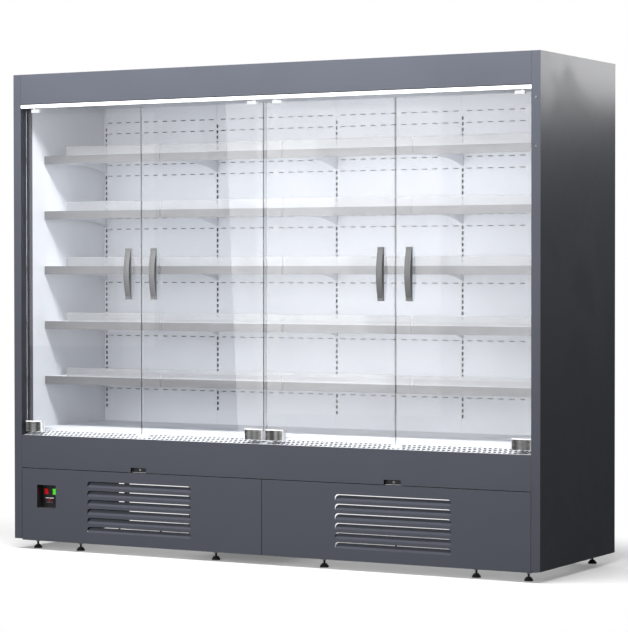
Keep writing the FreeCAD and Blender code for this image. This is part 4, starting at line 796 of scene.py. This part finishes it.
def socketScrews(name, places, finish, body):
    # screw heads with a sunk socket, on faces that look to the front
    heads = []
    for place in places:
        startDisc(capScrew["radius"], capScrew["head"], place, sides=18)
        edit(lambda: pickFaces(lambda centre, normal: normal.y < -0.9),
             lambda: bpy.ops.mesh.inset(thickness=capScrew["radius"] - capScrew["socket"]),
             lambda: bpy.ops.mesh.extrude_region_move(TRANSFORM_OT_translate={"value": (0, capScrew["sink"], 0)}))
        roundEdges(capScrew["round"], 1)
        heads.append(bpy.context.object)
    joinPieces(heads)
    return finishPiece(name, finish, body)


for number in range(1, 5):
    low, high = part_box(f"door_{number}_fittings")
    screwPlaces = [(x, low.y - capScrew["head"] / 4, low.z + capScrew["up"])
                   for x in (low.x + capScrew["inset"], high.x - capScrew["inset"])]
    socketScrews(f"patchScrews{number}", screwPlaces, "steel", f"door_{number}")
print("gaskets, plugs and screws done")

# refrigeration: fin packs, compressor pipes and the well's drain

finPack = {"pitch": 0.006, "fin": 0.0005, "rimParts": 12, "plate": 0.0015, "lip": 0.008, "tube": 0.0038,
           "bend": 0.0125, "steps": 8, "sides": 10}


def tubeBend(x, y, z, outward, spread):
    # half a turn of tube that stands out of an end plate and joins two tubes
    bpy.ops.mesh.primitive_circle_add(vertices=finPack["sides"], radius=finPack["tube"], fill_type="NOTHING",
                                      location=(x, y - spread, z), rotation=(0, math.pi / 2, 0))
    bpy.ops.object.transform_apply(location=True, rotation=True, scale=True)
    edit(lambda: bpy.ops.mesh.select_mode(type="VERT"),
         lambda: bpy.ops.mesh.select_all(action="SELECT"),
         lambda: bpy.ops.mesh.spin(steps=finPack["steps"], angle=outward * math.pi, center=(x, y, z),
                                   axis=(0, 0, -1)))
    return bpy.context.object


def finCoil(name, node, rows):
    # thin fins between two lipped plates, with return bends at both ends
    low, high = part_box(node)
    left, right = low.x + finPack["bend"], high.x - finPack["bend"]
    deep, tall = high.y - low.y, high.z - low.z
    middle = ((low.y + high.y) / 2, (low.z + high.z) / 2)
    startBox((finPack["fin"], deep, tall), (left + finPack["pitch"], *middle))
    edit(lambda: pickFaces(lambda centre, normal: abs(normal.x) > 0.9),
         lambda: bpy.ops.mesh.inset(thickness=deep / finPack["rimParts"]))
    rowOf(int((right - left) / finPack["pitch"]) - 1, (finPack["pitch"], 0, 0))
    pieces = [bpy.context.object]
    for x in (left, right):
        startBox((finPack["plate"], deep, tall), (x, *middle))
        edit(lambda: pickFaces(lambda centre, normal: abs(normal.x) > 0.9),
             lambda: bpy.ops.mesh.inset(thickness=finPack["lip"], depth=-finPack["plate"] / 4))
        pieces.append(bpy.context.object)
    columns = int(deep / (4 * finPack["bend"]))
    start = middle[0] - (columns - 1) * 2 * finPack["bend"]
    for row in range(rows):
        z = low.z + tall * (row + 0.5) / rows
        for column in range(columns):
            y = start + column * 4 * finPack["bend"]
            pieces.append(tubeBend(left, y, z, 1, finPack["bend"]))
            pieces.append(tubeBend(right, y, z, -1, finPack["bend"]))
    joinPieces(pieces)
    coil = finishPiece(name, "aluminium")
    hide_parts(node)
    return coil


finCoil("evaporatorFins", "evaporator_coil", 3)
finCoil("condenserFins", "condenser_coil", 6)
print("fin packs done")

drumLow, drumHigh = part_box("compressor")
drum = {"inset": 0.006, "seam": 0.0025, "seamHigh": 0.009, "seamUp": 0.11, "seamSides": 48,
        "box": (0.055, 0.026, 0.07), "boxUp": 0.1, "boxSunk": 0.012, "boxRound": 0.004, "lidEdge": 0.003,
        "lidProud": 0.0015}
piping = {"sides": 12, "steps": 6, "bend": 0.03, "sunk": 0.012, "discharge": 0.0045, "suction": 0.00585,
          "drain": 0.016, "dischargeUp": 0.13, "suctionUp": 0.15, "drainPlace": (0.12, 0.06), "drainSunk": 0.002,
          "suctionLegs": [(0.06, 0, 0), (0, 0.05, 0), (0, 0, 0.12)],
          "dischargeLegs": [(-0.07, 0, 0), (0, -0.16, 0), (0, 0, 0.05)],
          "drainLegs": [(0, 0, -0.12), (-0.18, 0, 0), (0, 0, -0.1)]}
drumX, drumY = (drumLow.x + drumHigh.x) / 2, (drumLow.y + drumHigh.y) / 2


def pipeRun(name, start, legs, radius, finish):
    # a round pipe: each leg is a straight length, then a quarter turn towards the next leg
    first = Vector(legs[0]).normalized()
    turn = first.to_track_quat("Z", "Y").to_euler()
    bpy.ops.mesh.primitive_circle_add(vertices=piping["sides"], radius=radius, fill_type="NGON", location=start,
                                      rotation=turn)
    bpy.ops.object.transform_apply(location=True, rotation=True, scale=True)
    edit()
    point = Vector(start)
    bend = piping["bend"]
    for number, leg in enumerate(legs):
        along = Vector(leg).normalized()
        last = number == len(legs) - 1
        straight = Vector(leg) - along * (0 if number == 0 else bend) - along * (0 if last else bend)
        bpy.ops.object.mode_set(mode="EDIT")
        bpy.ops.mesh.extrude_region_move(TRANSFORM_OT_translate={"value": straight})
        point += straight
        if not last:
            after = Vector(legs[number + 1]).normalized()
            centre = point + after * bend
            bpy.ops.mesh.spin(steps=piping["steps"], angle=math.pi / 2, center=centre, axis=along.cross(after))
            point = centre + along * bend
        bpy.ops.object.mode_set(mode="OBJECT")
    return finishPiece(name, finish)


def compressorSeam():
    # the weld bead where the drum's two halves meet
    radius = drumHigh.x - drumX - drum["inset"]
    startDisc(radius + drum["seam"], drum["seamHigh"], (drumX, drumY, drumLow.z + drum["seamUp"]), "z",
              drum["seamSides"])
    roundEdges(drum["seam"], 3)
    return finishPiece("compressorSeam", "blackPaint")


def terminalBox():
    # the cover of the terminals, with a raised lid
    size = drum["box"]
    startBox(size, (drumX, drumLow.y - size[1] / 2 + drum["boxSunk"], drumLow.z + drum["boxUp"]))
    roundEdges(drum["boxRound"], 3)
    edit(lambda: pickFaces(lambda centre, normal: normal.y < -0.95),
         lambda: bpy.ops.mesh.inset(thickness=drum["lidEdge"], depth=drum["lidProud"]))
    return finishPiece("compressorTerminalBox", "blackPlastic")


finishes["copper"] = brushedMetal("copper", (0.72, 0.36, 0.22, 1), (60, 60, 60), (0.25, 0.42), contrast=0.5)
finishes["drainPlastic"] = plastic("drainPlastic", (0.32, 0.33, 0.34, 1), (0.35, 0.5))
compressorSeam()
terminalBox()
pipeRun("suctionPipe", (drumHigh.x - piping["sunk"], drumY, drumLow.z + piping["suctionUp"]),
        piping["suctionLegs"], piping["suction"], "copper")
pipeRun("dischargePipe", (drumLow.x + piping["sunk"], drumY, drumLow.z + piping["dischargeUp"]),
        piping["dischargeLegs"], piping["discharge"], "copper")
pipeRun("drainPipe", (*piping["drainPlace"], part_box("insulated_tub")[0].z + piping["drainSunk"]),
        piping["drainLegs"], piping["drain"], "drainPlastic")
print("compressor, pipes and drain done")
